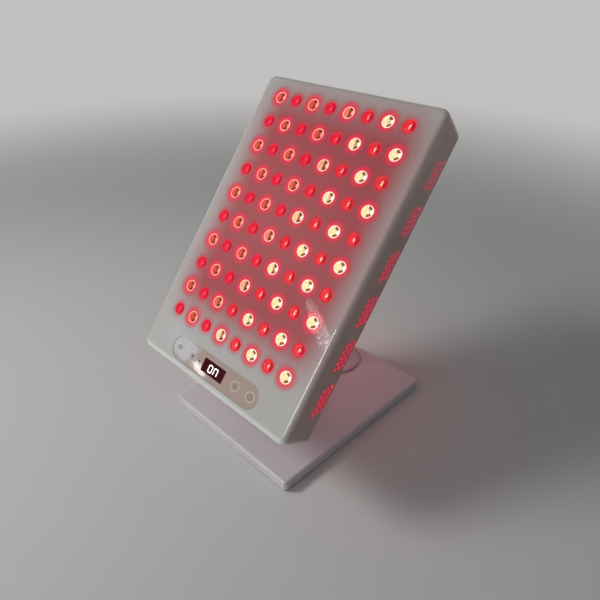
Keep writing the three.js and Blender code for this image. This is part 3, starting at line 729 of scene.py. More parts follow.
@dataclass(frozen=True)
class Groups:
    """The shader effects that several finishes share, each built once.

    Attributes:
        grain: Fine moulding grain, as a tone and a height.
        place: Object coordinates in the panel's own frame, in millimetres.
        cells: The nearest lens, by distance and kind.
        lean: How pale a lens shines at its place in the field, as painted light.
        dust: Where dust settles on faces that look up.
    """

    grain: Tree
    place: Tree
    cells: Tree
    lean: Tree
    dust: Tree

    @classmethod
    def build(cls, datum: Datum, grid: LensGrid) -> Groups:
        """Builds all groups.

        Args:
            datum: Where the panel's frame lies.
            grid: The lenses' pitch and rise.

        Returns:
            The groups.
        """
        return cls(cls._grain(), cls._place(datum), cls._cells(grid), cls._lean(grid), cls._dust())

    @staticmethod
    def _tree(name: str, inputs: dict[str, float], outputs: Sequence[str]) -> tuple[Pen, Node, Node]:
        """Starts a group with float sockets.

        Args:
            name: The group's name.
            inputs: Its inputs with their default values.
            outputs: Its outputs.

        Returns:
            The pen, the input node and the output node.
        """
        tree = bpy.data.node_groups.new(name, "ShaderNodeTree")
        for label, value in inputs.items():
            socket = tree.interface.new_socket(name=label, in_out="INPUT", socket_type="NodeSocketFloat")
            socket.default_value = value
        for label in outputs:
            tree.interface.new_socket(name=label, in_out="OUTPUT", socket_type="NodeSocketFloat")
        pen = Pen(tree)
        return pen, pen.add("NodeGroupInput"), pen.add("NodeGroupOutput")

    @classmethod
    def _grain(cls) -> Tree:
        """Builds the fine grain of a moulded surface."""
        pen, given, out = cls._tree("moulded_grain", {"Scale": 900.0, "Wave": 9.0}, ["Tone", "Height"])
        place = pen.spot()
        fine = pen.noise(place, given.outputs["Scale"], 2.0, 0.55)
        slow = pen.noise(place, given.outputs["Wave"], 2.0, 0.5)
        tone = pen.plus(pen.times(fine, 0.35), pen.times(slow, 0.65))
        pen.feed(out.inputs["Tone"], tone)
        pen.feed(out.inputs["Height"], fine)
        return pen.tree

    @classmethod
    def _place(cls, datum: Datum) -> Tree:
        """Builds the change from object coordinates to the panel's own frame.

        Args:
            datum: Where the panel's frame lies.

        Returns:
            The group, whose outputs are millimetres.
        """
        pen, _, out = cls._tree("panel_place", {}, ["Across", "Depth", "Rise"])
        mapping = pen.add("ShaderNodeMapping")
        mapping.vector_type = "TEXTURE"
        mapping.inputs["Location"].default_value = datum.hinge * MM
        mapping.inputs["Rotation"].default_value = (-math.radians(datum.lean_deg), 0.0, 0.0)
        pen.feed(mapping.inputs["Vector"], pen.spot())
        split = pen.add("ShaderNodeSeparateXYZ")
        pen.feed(split.inputs[0], mapping.outputs[0])
        for name, part in zip(("Across", "Depth", "Rise"), split.outputs):
            pen.feed(out.inputs[name], pen.math("DIVIDE", part, MM))
        return pen.tree

    @classmethod
    def _cells(cls, grid: LensGrid) -> Tree:
        """Builds the distance to the nearest lens and that lens's kind.

        Args:
            grid: The lenses' pitch and rise.

        Returns:
            The group: distance in millimetres, 1 for a bright lens, and the offset from its middle.
        """
        pen, given, out = cls._tree(
            "lens_cells", {"Across": 0.0, "Rise": 0.0}, ["Distance", "Bright", "Aside", "Above"]
        )
        col = pen.plus(pen.math("DIVIDE", given.outputs["Across"], grid.pitch_x), grid.cols / 2)
        lifted = pen.math("SUBTRACT", given.outputs["Rise"], grid.rise)
        row = pen.plus(pen.math("DIVIDE", lifted, grid.pitch_z), grid.rows / 2)
        cells = []
        offsets = []
        for value, pitch, count in ((col, grid.pitch_x, grid.cols), (row, grid.pitch_z, grid.rows)):
            cell = pen.math("MINIMUM", pen.most(pen.math("FLOOR", value), 0.0), count - 1.0)
            inside = pen.math("SUBTRACT", value, pen.plus(cell, 0.5))
            cells.append(cell)
            offsets.append(pen.times(inside, pitch))
        squares = [pen.times(offset, offset) for offset in offsets]
        pen.feed(out.inputs["Distance"], pen.math("SQRT", pen.plus(*squares)))
        for name, offset in zip(("Aside", "Above"), offsets):
            pen.feed(out.inputs[name], offset)
        pen.feed(out.inputs["Bright"], pen.math("MODULO", pen.plus(*cells), 2.0))
        return pen.tree

    @classmethod
    def _lean(cls, grid: LensGrid) -> Tree:
        """Builds the share of painted pale light, which grows across the field and down it.

        Args:
            grid: The lenses' rise.

        Returns:
            The group, from 0 to 1.
        """
        pen, given, out = cls._tree("lens_painted_pale_light", {"Across": 0.0, "Rise": 0.0}, ["Share"])
        across = pen.math("MULTIPLY_ADD", given.outputs["Across"], 0.0075, 0.30)
        lowered = pen.math("SUBTRACT", grid.rise, given.outputs["Rise"])
        share = pen.math("MULTIPLY_ADD", lowered, 0.0013, across)
        pen.feed(out.inputs["Share"], pen.grow(share, 0.0, 0.78))
        return pen.tree

    @classmethod
    def _dust(cls) -> Tree:
        """Builds a mask of thin dust on the faces that look up."""
        pen, given, out = cls._tree("settled_dust", {"Amount": 0.5}, ["Mask"])
        split = pen.add("ShaderNodeSeparateXYZ")
        pen.feed(split.inputs[0], pen.add("ShaderNodeNewGeometry").outputs["Normal"])
        place = pen.spot()
        speck = pen.fade(pen.noise(place, 420.0, 4.0, 0.65), 0.72, 0.52, 1.0, 0.0)
        cloud = pen.noise(place, 14.0, 3.0, 0.6)
        up = pen.most(split.outputs["Z"], 0.0)
        settled = pen.times(up, pen.plus(speck, cloud))
        mask = pen.times(settled, given.outputs["Amount"])
        pen.feed(out.inputs["Mask"], mask)
        return pen.tree


class Finish:
    """Common start of every finish: a material with a Principled BSDF and a pen on its tree."""

    @staticmethod
    def start(name: str) -> tuple[Material, Pen, Node]:
        """Starts a material.

        Args:
            name: The material's name.

        Returns:
            The material, the pen and the shader node.
        """
        material = bpy.data.materials.new(name)
        material.use_nodes = True
        shader = material.node_tree.nodes["Principled BSDF"]
        return material, Pen(material.node_tree), shader


@dataclass(frozen=True)
class MouldedFinish(Finish):
    """A moulded or painted surface with fine grain and thin dust.

    Attributes:
        name: The material's name.
        colour: Its main colour.
        shade: The colour that the slow variation leans to.
        rough: Lowest roughness.
        rough_span: How much the grain adds to the roughness.
        grain: Grain features per metre.
        depth: Grain height in metres.
        coat: Weight of the clear gloss on top.
        coat_rough: Roughness of that gloss.
        dust: Amount of dust.
        metal: How metallic it is.
        specular: Strength of its plain reflection.
    """

    name: str
    colour: Colour
    shade: Colour
    rough: float
    rough_span: float = 0.12
    grain: float = 900.0
    depth: float = 0.00006
    coat: float = 0.0
    coat_rough: float = 0.12
    dust: float = 0.04
    metal: float = 0.0
    specular: float = 0.5

    def build(self, groups: Groups) -> Material:
        """Builds the material.

        Args:
            groups: The shared effects.

        Returns:
            The material.
        """
        material, pen, shader = self.start(self.name)
        grain = pen.group(groups.grain, Scale=self.grain)
        dust = pen.group(groups.dust, Amount=self.dust)
        tone = pen.mix(pen.grow(grain.outputs["Tone"], 0.35, 0.65), self.colour, self.shade)
        pen.fill(shader, Base_Color=pen.mix(dust.outputs["Mask"], tone, (0.55, 0.52, 0.48)))
        rough = pen.math("MULTIPLY_ADD", grain.outputs["Tone"], self.rough_span, self.rough)
        pen.fill(shader, Roughness=pen.plus(rough, dust.outputs["Mask"], clamp=True))
        pen.fill(shader, Normal=pen.bump(grain.outputs["Height"], 0.35, self.depth), Metallic=self.metal)
        pen.fill(shader, Specular_IOR_Level=self.specular, Coat_Weight=self.coat)
        pen.fill(shader, Coat_Roughness=self.coat_rough)
        return material


@dataclass(frozen=True)
class VentField:
    """The slanted groups of vent holes on each side of the panel, in millimetres."""

    groups: int = 6
    group_pitch: float = 41.8
    depth: float = -25.5
    rows: int = 5
    cols: int = 3
    pitch_z: float = 5.4
    pitch_y: float = 5.0
    radius: float = 1.5
    side: float = 98.5

    def places(self) -> list[Place]:
        """Lists the holes of both sides in the panel's frame."""
        found = []
        for group in range(self.groups):
            level = (group - (self.groups - 1) / 2) * self.group_pitch
            for col in range(self.cols):
                across = col - (self.cols - 1) / 2
                for row in range(self.rows):
                    along = row - (self.rows - 1) / 2
                    z = level + (along + across / 2) * self.pitch_z
                    y = self.depth + across * self.pitch_y
                    found += [(-self.side, y, z), (self.side, y, z)]
        return found


@dataclass(frozen=True)
class ShellFinish(Finish):
    """The panel's glossy white moulding, which glows faintly around the lit lenses.

    Attributes:
        name: The material's name.
        colour: White of the moulding.
        blush: Its colour where red light comes through from behind.
        side_painted_shade: Its colour on the two sides: painted shade, tinted with painted red light from
            inside.
        halo: Light around a bright lens.
        painted_red_light: The moulding's colour under that light: painted red light around a bright lens and
            the vents.
        lip_painted_light: Its colour along the lower edge, far from the lenses' light: painted light, paler
            than the moulding.
        lens_r: Radius of a lens hole, in millimetres.
        face: Depth of the face in the panel's frame.
        lip_z: Height of the lower edge in the panel's frame.
        worn_x: How far to the right the worn patch's middle lies.
        worn_z: Its height in the panel's frame.
    """

    name: str = "shell_white"
    colour: Colour = (0.46, 0.45, 0.43)
    blush: Colour = (0.39, 0.08, 0.088)
    side_painted_shade: Colour = (0.465, 0.345, 0.315)
    halo: Colour = (0.80, 0.015, 0.055)
    painted_red_light: Colour = (0.36, 0.03, 0.05)
    lip_painted_light: Colour = (0.69, 0.72, 0.68)
    lens_r: float = 6.2
    face: float = FACE
    lip_z: float = -150.0
    worn_x: float = 76.0
    worn_z: float = -36.0

    def build(self, groups: Groups, grid: LensGrid, vents: VentField) -> Material:
        """Builds the material.

        Args:
            groups: The shared effects.
            grid: The field of lenses.
            vents: The groups of vent holes.

        Returns:
            The material.
        """
        material, pen, shader = self.start(self.name)
        grain = pen.group(groups.grain, Scale=520.0, Wave=7.0)
        dust = pen.group(groups.dust, Amount=0.03)
        place = pen.group(groups.place)
        across, depth, rise = (place.outputs[n] for n in ("Across", "Depth", "Rise"))
        cells = pen.group(groups.cells, Across=across, Rise=rise)
        distance, bright = cells.outputs["Distance"], cells.outputs["Bright"]

        front = pen.fade(depth, self.face + 0.6, self.face + 3.0)
        near = pen.fade(distance, self.lens_r - 1.4, self.lens_r + 6.6)
        weak = pen.times(pen.fade(distance, self.lens_r - 1.2, self.lens_r + 4.2), 0.36)
        halo = pen.plus(pen.times(near, bright), pen.times(weak, pen.math("SUBTRACT", 1.0, bright)))
        halo = pen.times(halo, front)

        half_w = grid.pitch_x * grid.cols / 2
        half_h = grid.pitch_z * grid.rows / 2
        sides = pen.fade(pen.apart(across, 5.0), half_w - 20.0, half_w + 24.0)
        ends = pen.fade(pen.apart(rise, grid.rise + 8.0), half_h - 44.0, half_h + 13.0)
        glow = pen.times(pen.times(sides, ends), front)
        # The two sides, which get painted shade tinted with painted red light.
        side = pen.grow(pen.math("ABSOLUTE", across), vents.side - 4.5, vents.side - 0.5)
        leak = pen.times(self._leak(pen, vents, depth, rise), side)

        cool = tuple(0.94 * v for v in self.colour)
        tone = pen.mix(pen.fade(grain.outputs["Tone"], 0.4, 0.62, 0.0, 0.6), self.colour, cool)
        # Painted light along the lower edge.
        low = pen.grow(rise, self.lip_z + 8.0, self.lip_z + 2.0)
        tone = pen.mix(low, pen.mix(side, tone, self.side_painted_shade), self.lip_painted_light)
        tone = pen.mix(glow, tone, self.blush)
        # Painted red light around the bright lenses and the vents.
        tone = pen.mix(pen.most(pen.math("POWER", halo, 0.6), leak), tone, self.painted_red_light)
        pen.fill(shader, Base_Color=pen.mix(dust.outputs["Mask"], tone, (0.5, 0.47, 0.44)))
        lit = pen.most(halo, pen.times(leak, 0.62))
        pen.fill(shader, Emission_Color=pen.mix(lit, (0.0, 0.0, 0.0), self.halo), Emission_Strength=0.62)
        pen.fill(shader, Roughness=pen.math("MULTIPLY_ADD", grain.outputs["Tone"], 0.1, 0.3))
        pen.fill(shader, Normal=pen.bump(grain.outputs["Height"], 0.12, 0.00003), Specular_IOR_Level=0.15)
        skin = pen.spot()
        smear = pen.noise(skin, 110.0, 4.0, 0.65)
        pen.fill(shader, Coat_Roughness=pen.fade(smear, 0.66, 0.46, 0.10, 0.025))
        bend = pen.times(
            pen.grow(pen.math("ABSOLUTE", across), vents.side - 6.5, vents.side - 5.0),
            pen.fade(depth, self.face + 5.0, self.face + 7.0),
        )
        worn = pen.times(
            pen.fade(pen.apart(across, self.worn_x), 22.0, 34.0),
            pen.fade(pen.apart(rise, self.worn_z), 24.0, 38.0),
        )
        specks = pen.times(worn, pen.grow(pen.noise(skin, 650.0, 3.0, 0.75), 0.5, 0.6))
        coat = pen.math("MULTIPLY_ADD", pen.most(bend, specks), 0.85, 0.15)
        pen.fill(shader, Coat_Weight=coat)
        return material

    @staticmethod
    def _leak(pen: Pen, vents: VentField, depth: Socket, rise: Socket) -> Socket:
        """Draws the light that leaks through the wall around each group of vents.

        Args:
            pen: The material's pen.
            vents: The groups of vent holes.
            depth: Depth in the panel's frame.
            rise: Height in the panel's frame.

        Returns:
            The leak's share.
        """
        off = pen.math("SUBTRACT", depth, vents.depth)
        slant = pen.math("MULTIPLY_ADD", off, -vents.pitch_z / 2 / vents.pitch_y, rise)
        reach = vents.groups * vents.group_pitch / 2
        within = pen.fade(pen.math("ABSOLUTE", slant), reach - 1.0, reach)
        turn = pen.math("DIVIDE", slant, vents.group_pitch)
        turn = pen.math("SUBTRACT", turn, pen.math("FLOOR", turn))
        along = pen.times(pen.apart(turn, 0.5), vents.group_pitch)
        half = vents.pitch_z * vents.rows / 2
        patch = pen.times(
            pen.fade(along, half - 4.5, half + 4.0),
            pen.fade(pen.math("ABSOLUTE", off), vents.pitch_y * 0.8, vents.pitch_y * 2.3),
        )
        patch = pen.times(patch, within)
        return pen.times(patch, pen.fade(rise, -60.0, 160.0, 0.85, 0.2))


@dataclass(frozen=True)
class LensFinish(Finish):
    """A lens part with painted light, redder in the upper left of the field and paler in the lower right.

    Attributes:
        name: The material's name.
        red: Its light where it shines redder.
        pale: Its light where it shines paler.
        strength: Strength of the light.
        span: The shares of the field's lean between which it goes from red to pale.
        rest: Its light away from the painted highlight streak in the middle, or none where it has no streak.
        body: The share of its light that is its own colour.
    """

    name: str
    red: Colour
    pale: Colour
    strength: float = 0.75
    span: Point = (0.0, 1.0)
    rest: Colour | None = None
    body: float = 0.25

    def build(self, groups: Groups) -> Material:
        """Builds the material.

        Args:
            groups: The shared effects.

        Returns:
            The material.
        """
        material, pen, shader = self.start(self.name)
        place = pen.group(groups.place)
        share = pen.group(
            groups.lean, Across=place.outputs["Across"], Rise=place.outputs["Rise"]
        ).outputs["Share"]
        streak = pen.noise(pen.spot(), 520.0, 2.0, 0.5)
        # Painted light, paler across the field and down it.
        light = pen.mix(pen.grow(share, *self.span), self.red, self.pale)
        light = pen.mix(pen.fade(streak, 0.42, 0.6, 0.0, 0.22), light, self.red)
        # The deep lenses' cores get a painted highlight streak.
        if self.rest is not None:
            light = pen.mix(self._painted_highlight(pen, groups, place, streak), self.rest, light)
        pen.fill(shader, Emission_Color=light, Base_Color=pen.mix(self.body, (0.0, 0.0, 0.0), light))
        pen.fill(shader, Roughness=pen.math("MULTIPLY_ADD", streak, 0.12, 0.24))
        pen.fill(shader, Emission_Strength=self.strength, Specular_IOR_Level=0.12)
        return material

    @staticmethod
    def _painted_highlight(pen: Pen, groups: Groups, place: Node, streak: Socket) -> Socket:
        """Draws the soft, uneven painted highlight streak in the middle of a lens.

        Args:
            pen: The material's pen.
            groups: The shared effects.
            place: The node with the place in the panel's frame.
            streak: A noise that breaks the streak's outline.

        Returns:
            The streak's share.
        """
        cells = pen.group(groups.cells, Across=place.outputs["Across"], Rise=place.outputs["Rise"])
        aside = pen.math("SUBTRACT", cells.outputs["Aside"], 0.35)
        above = pen.math("DIVIDE", cells.outputs["Above"], 2.6)
        reach = pen.plus(pen.times(aside, aside), pen.times(above, above))
        broken = pen.math("MULTIPLY_ADD", pen.math("SUBTRACT", streak, 0.5), 3.0, reach)
        return pen.fade(broken, 0.1, 1.1)


@dataclass(frozen=True)
class GlowFinish(Finish):
    """A lit surface, whose light varies a little over it.

    Attributes:
        name: The material's name.
        colour: The surface's own colour.
        light: The light at its strongest.
        dim: The light where it is weaker.
        strength: Strength of the light.
        rough: Its roughness.
        rise_span: Panel heights, in millimetres, between which the light goes from full to dim; equal
            numbers leave it even.
    """

    name: str
    colour: Colour
    light: Colour
    dim: Colour
    strength: float
    rough: float = 0.2
    rise_span: Point = (0.0, 0.0)

    def build(self, groups: Groups) -> Material:
        """Builds the material.

        Args:
            groups: The shared effects.

        Returns:
            The material.
        """
        material, pen, shader = self.start(self.name)
        place = pen.spot()
        patch = pen.noise(place, 260.0, 2.0, 0.5)
        share = pen.grow(patch, 0.38, 0.62)
        if self.rise_span[0] != self.rise_span[1]:
            rise = pen.group(groups.place).outputs["Rise"]
            share = pen.most(share, pen.grow(rise, *self.rise_span))
        pen.fill(shader, Emission_Color=pen.mix(share, self.light, self.dim))
        pen.fill(shader, Base_Color=pen.mix(share, self.colour, self.dim))
        pen.fill(shader, Roughness=pen.math("MULTIPLY_ADD", patch, 0.15, self.rough))
        pen.fill(shader, Emission_Strength=self.strength, Coat_Weight=0.6, Coat_Roughness=0.06)
        return material


@dataclass(frozen=True)
class BrushedFinish(Finish):
    """Bare metal with fine directional marks.

    Attributes:
        name: The material's name.
        colour: The metal's colour.
        shade: Its darker streaks.
        rough: Lowest roughness.
        stretch: How the streaks are drawn out along X, Y and Z.
    """

    name: str
    colour: Colour
    shade: Colour
    rough: float
    stretch: tuple[float, float, float] = (1.0, 1.0, 12.0)

    def build(self) -> Material:
        """Builds the material."""
        material, pen, shader = self.start(self.name)
        mapping = pen.add("ShaderNodeMapping")
        mapping.inputs["Scale"].default_value = self.stretch
        pen.feed(mapping.inputs["Vector"], pen.spot())
        streak = pen.noise(mapping.outputs[0], 700.0, 3.0, 0.6)
        cloud = pen.noise(mapping.outputs[0], 30.0, 2.0, 0.5)
        tone = pen.mix(pen.grow(streak, 0.3, 0.7), self.colour, self.shade)
        pen.fill(shader, Base_Color=tone)
        rough = pen.math("MULTIPLY_ADD", pen.plus(streak, cloud), 0.12, self.rough)
        pen.fill(shader, Roughness=rough, Normal=pen.bump(streak, 0.2, 0.00004), Metallic=1.0)
        return material


@dataclass(frozen=True)
class BoardFinish(Finish):
    """A circuit board with tracks and solder points under its green lacquer.

    Attributes:
        name: The material's name.
        lacquer: Colour of the lacquer.
        track: Colour of the lacquer over copper.
        solder: Colour of the bare points.
    """

    name: str = "board_green"
    lacquer: Colour = (0.01, 0.085, 0.035)
    track: Colour = (0.03, 0.17, 0.07)
    solder: Colour = (0.6, 0.6, 0.58)

    def build(self) -> Material:
        """Builds the material."""
        material, pen, shader = self.start(self.name)
        place = pen.spot()
        brick = pen.add("ShaderNodeTexBrick")
        pen.feed(brick.inputs["Vector"], place)
        brick.inputs["Scale"].default_value = 160.0
        brick.inputs["Mortar Size"].default_value = 0.03
        tracks = brick.outputs["Fac"]
        points = pen.add("ShaderNodeTexVoronoi")
        pen.feed(points.inputs["Vector"], place)
        points.inputs["Scale"].default_value = 240.0
        dots = pen.fade(points.outputs["Distance"], 0.2, 0.26)
        tone = pen.mix(dots, pen.mix(tracks, self.lacquer, self.track), self.solder)
        pen.fill(shader, Base_Color=tone, Metallic=pen.times(dots, 0.9))
        pen.fill(shader, Roughness=pen.math("MULTIPLY_ADD", dots, -0.1, 0.42))
        pen.fill(shader, Normal=pen.bump(pen.plus(dots, tracks), 0.4, 0.0001))
        return material


@dataclass(frozen=True)
class Kit:
    """Every finish of the device, built once.

    Attributes are the finishes, named for what they dress.
    """

    groups: Groups
    shell: Material
    base: Material
    arm: Material
    foot: Material
    window: Material
    screen: Material
    digits: Material
    mark_ring: Material
    mark_sign: Material
    dot_red: Material
    lens: dict[Light, list[Material]]
    vent: Material
    hole: Material
    steel: Material
    alloy: Material
    board: Material
    black: Material
    rubber: Material

    @classmethod
    def build(cls, datum: Datum, grid: LensGrid, vents: VentField) -> Kit:
        """Builds every finish.

        Args:
            datum: Where the panel's frame lies.
            grid: The field of lenses.
            vents: The groups of vent holes.

        Returns:
            The finishes.
        """
        groups = Groups.build(datum, grid)
        bright = [
            LensFinish("lens_rim_bright", (1.0, 0.52, 0.40), (1.0, 0.90, 0.70), 0.95, (0.0, 0.6)),
            LensFinish("lens_cup_bright", (0.66, 0.075, 0.05), (0.96, 0.84, 0.44), 0.9, (0.02, 0.6)),
            LensFinish("lens_window_bright", (0.24, 0.02, 0.015), (0.28, 0.10, 0.04), 0.85, (0.2, 1.0)),
            LensFinish("lens_wedge_bright", (0.92, 0.30, 0.22), (1.0, 0.96, 0.88), 1.0, (0.1, 0.7)),
            LensFinish("lens_core_bright", (0.40, 0.045, 0.03), (0.95, 0.82, 0.44), 0.9, (0.28, 1.0)),
        ]
        deep = [
            LensFinish("lens_rim_deep", (0.68, 0.003, 0.035), (0.70, 0.02, 0.04), 0.85),
            LensFinish("lens_cup_deep", (0.74, 0.008, 0.04), (0.78, 0.035, 0.04), 0.85),
            LensFinish("lens_window_deep", (0.44, 0.002, 0.02), (0.45, 0.006, 0.018), 0.85),
            LensFinish("lens_wedge_deep", (0.78, 0.02, 0.055), (0.84, 0.06, 0.055), 0.85),
            LensFinish(
                "lens_core_deep", (0.85, 0.07, 0.09), (1.0, 0.62, 0.42), 0.9, (0.1, 0.9), (0.74, 0.012, 0.04)
            ),
        ]
        made = cls(
            groups=groups,
            shell=ShellFinish().build(groups, grid, vents),
            base=MouldedFinish(
                "base_lilac", (0.60, 0.56, 0.60), (0.57, 0.535, 0.57), 0.3, coat=0.2, dust=0.05, specular=0.35
            ).build(groups),
            arm=MouldedFinish(
                "arm_paint", (0.56, 0.51, 0.54), (0.53, 0.485, 0.51), 0.34, grain=600.0, coat=0.2
            ).build(groups),
            # The collar's finish: painted shade and painted red light, darker and redder than the base.
            foot=MouldedFinish(
                "foot_painted_red_shade", (0.52, 0.42, 0.46), (0.50, 0.40, 0.44), 0.3, coat=0.2, dust=0.05, specular=0.35
            ).build(groups),
            window=MouldedFinish(
                "window_beige", (0.36, 0.255, 0.21), (0.34, 0.24, 0.195), 0.4, 0.06,
                coat=1.0, coat_rough=0.05, dust=0.02,
            ).build(groups),
            screen=MouldedFinish(
                "screen_dark_red", (0.042, 0.002, 0.003), (0.06, 0.002, 0.004), 0.42, 0.08,
                dust=0.0, specular=0.05,
            ).build(groups),
            digits=GlowFinish(
                "digit_white", (0.8, 0.8, 0.85), (1.0, 0.97, 1.0), (0.9, 0.88, 0.95), 1.1
            ).build(groups),
            mark_ring=MouldedFinish(
                "mark_ring", (0.60, 0.52, 0.44), (0.57, 0.49, 0.42), 0.3, 0.05, dust=0.0
            ).build(groups),
            mark_sign=MouldedFinish(
                "mark_sign", (0.085, 0.065, 0.055), (0.075, 0.055, 0.05), 0.3, 0.05, dust=0.0
            ).build(groups),
            dot_red=GlowFinish(
                "dot_red", (0.5, 0.02, 0.04), (0.75, 0.03, 0.06), (0.5, 0.02, 0.05), 0.8
            ).build(groups),
            lens={
                Light.BRIGHT: [finish.build(groups) for finish in bright],
                Light.DEEP: [finish.build(groups) for finish in deep],
            },
            vent=GlowFinish(
                "vent_glow", (0.5, 0.1, 0.1), (0.72, 0.04, 0.09), (0.36, 0.07, 0.11), 0.75,
                rise_span=(-110.0, 70.0),
            ).build(groups),
            hole=GlowFinish(
                "hole_wall", (0.7, 0.1, 0.1), (0.95, 0.08, 0.1), (0.8, 0.04, 0.07), 0.7
            ).build(groups),
            steel=BrushedFinish("steel_turned", (0.52, 0.53, 0.55), (0.36, 0.37, 0.39), 0.22).build(),
            alloy=BrushedFinish("alloy_extruded", (0.66, 0.67, 0.69), (0.5, 0.51, 0.53), 0.3).build(),
            board=BoardFinish().build(),
            black=MouldedFinish(
                "plastic_black", (0.018, 0.018, 0.02), (0.026, 0.026, 0.028), 0.38, grain=700.0, depth=0.0001
            ).build(groups),
            rubber=MouldedFinish(
                "rubber_black", (0.022, 0.022, 0.024), (0.03, 0.03, 0.03), 0.72, grain=420.0, depth=0.0002
            ).build(groups),
        )
        log.info("finishes: %d materials", len(bpy.data.materials))
        return made


# Sub-assemblies


@dataclass
class LensGrid:
    """The board with its field of lenses.

    Attributes are millimetres, and counts.
    """

    cols: int = 8
    rows: int = 10
    pitch_x: float = 20.3
    pitch_z: float = 25.3
    rise: float = 14.4
    radius: float = 5.6
    sink: float = 0.5
    height: float = 6.2
    board_t: float = 1.6
    margin: float = 9.0
    sides: int = 36
    face: float = FACE

    def places(self, light: Light | None = None) -> list[Place]:
        """Lists where the lenses are.

        Args:
            light: One kind of lens, or none for all.

        Returns:
            Places on the panel's face, as (x, 0, z).
        """
        found = []
        for row in range(self.rows):
            for col in range(self.cols):
                kind = Light.BRIGHT if (row + col) % 2 == 0 else Light.DEEP
                x = (col - (self.cols - 1) / 2) * self.pitch_x
                z = self.rise + ((self.rows - 1) / 2 - row) * self.pitch_z
                if light in (None, kind):
                    found.append((x, 0.0, z))
        return found

    def lens(self, light: Light) -> Shape:
        """Makes one lens: a rounded rim, a cup with its darker and lighter parts, and a low core.

        Args:
            light: The kind of lens.

        Returns:
            The lens.
        """
        front = self.face + self.sink
        shape = (
            (0.0, 0.2), (0.15, 0.24), (0.26, 0.4), (0.34, 0.62), (0.42, 0.66), (0.55, 0.62), (0.70, 0.55),
            (0.82, 0.38), (0.86, 0.08), (0.90, -0.1), (0.95, -0.15), (0.985, 0.08), (1.0, 0.5),
            (0.74, self.height), (0.0, self.height),
        )
        outline = [(share * self.radius, front + deep) for share, deep in shape]
        bm = turned(outline, self.sides)
        part_at = self._bright_part if light is Light.BRIGHT else self._deep_part
        for face in bm.faces:
            middle = face.calc_center_median()
            share = math.hypot(middle.x, middle.z) / self.radius
            angle = math.degrees(math.atan2(middle.z, middle.x))
            if share > 0.84 or middle.y > front + 2.9:
                face.material_index = LensPart.RIM.value
            else:
                face.material_index = part_at(share, angle).value
        return bm

    @staticmethod
    def _bright_part(share: float, angle: float) -> LensPart:
        """Tells which part of a bright lens lies at a share of its radius and an angle."""
        if share > 0.4 and (40.0 < angle < 100.0 or -90.0 < angle < -20.0):
            return LensPart.WINDOW
        if share > 0.45 and -20.0 < angle < 40.0:
            return LensPart.WEDGE
        if share < 0.45 and -115.0 < angle < 115.0:
            return LensPart.CORE
        return LensPart.CUP

    @staticmethod
    def _deep_part(share: float, angle: float) -> LensPart:
        """Tells which part of a deep red lens lies at a share of its radius and an angle."""
        x, z = share * math.cos(math.radians(angle)), share * math.sin(math.radians(angle))
        if (x - 0.06) ** 2 / 0.34**2 + z**2 / 0.6**2 < 1.0:
            return LensPart.CORE
        if x > 0.2 and -50.0 < angle < 85.0:
            return LensPart.WINDOW
        if share > 0.45 and -150.0 < angle < -70.0:
            return LensPart.WEDGE
        return LensPart.CUP

    def build(self, kit: Kit, datum: Datum) -> None:
        """Makes the board and both kinds of lens.

        Args:
            kit: The finishes.
            datum: Where the panel lies.
        """
        width = (self.cols - 1) * self.pitch_x + 2 * self.margin
        height = (self.rows - 1) * self.pitch_z + 2 * self.margin
        back = self.face + self.sink + self.height
        plate = moved(slab(block(width, height), 3.0, back, back + self.board_t), z=self.rise)
        for kind in Light:
            piece = Piece(f"lenses_{kind.value}", Body.PANEL, "lens_red", kit.lens[kind], ["led_board"])
            piece.make(repeated(self.lens(kind), self.places(kind)), datum.panel)
        Piece("led_plate", Body.PANEL, "board_green", [kit.board], ["led_board"]).make(plate, datum.panel)


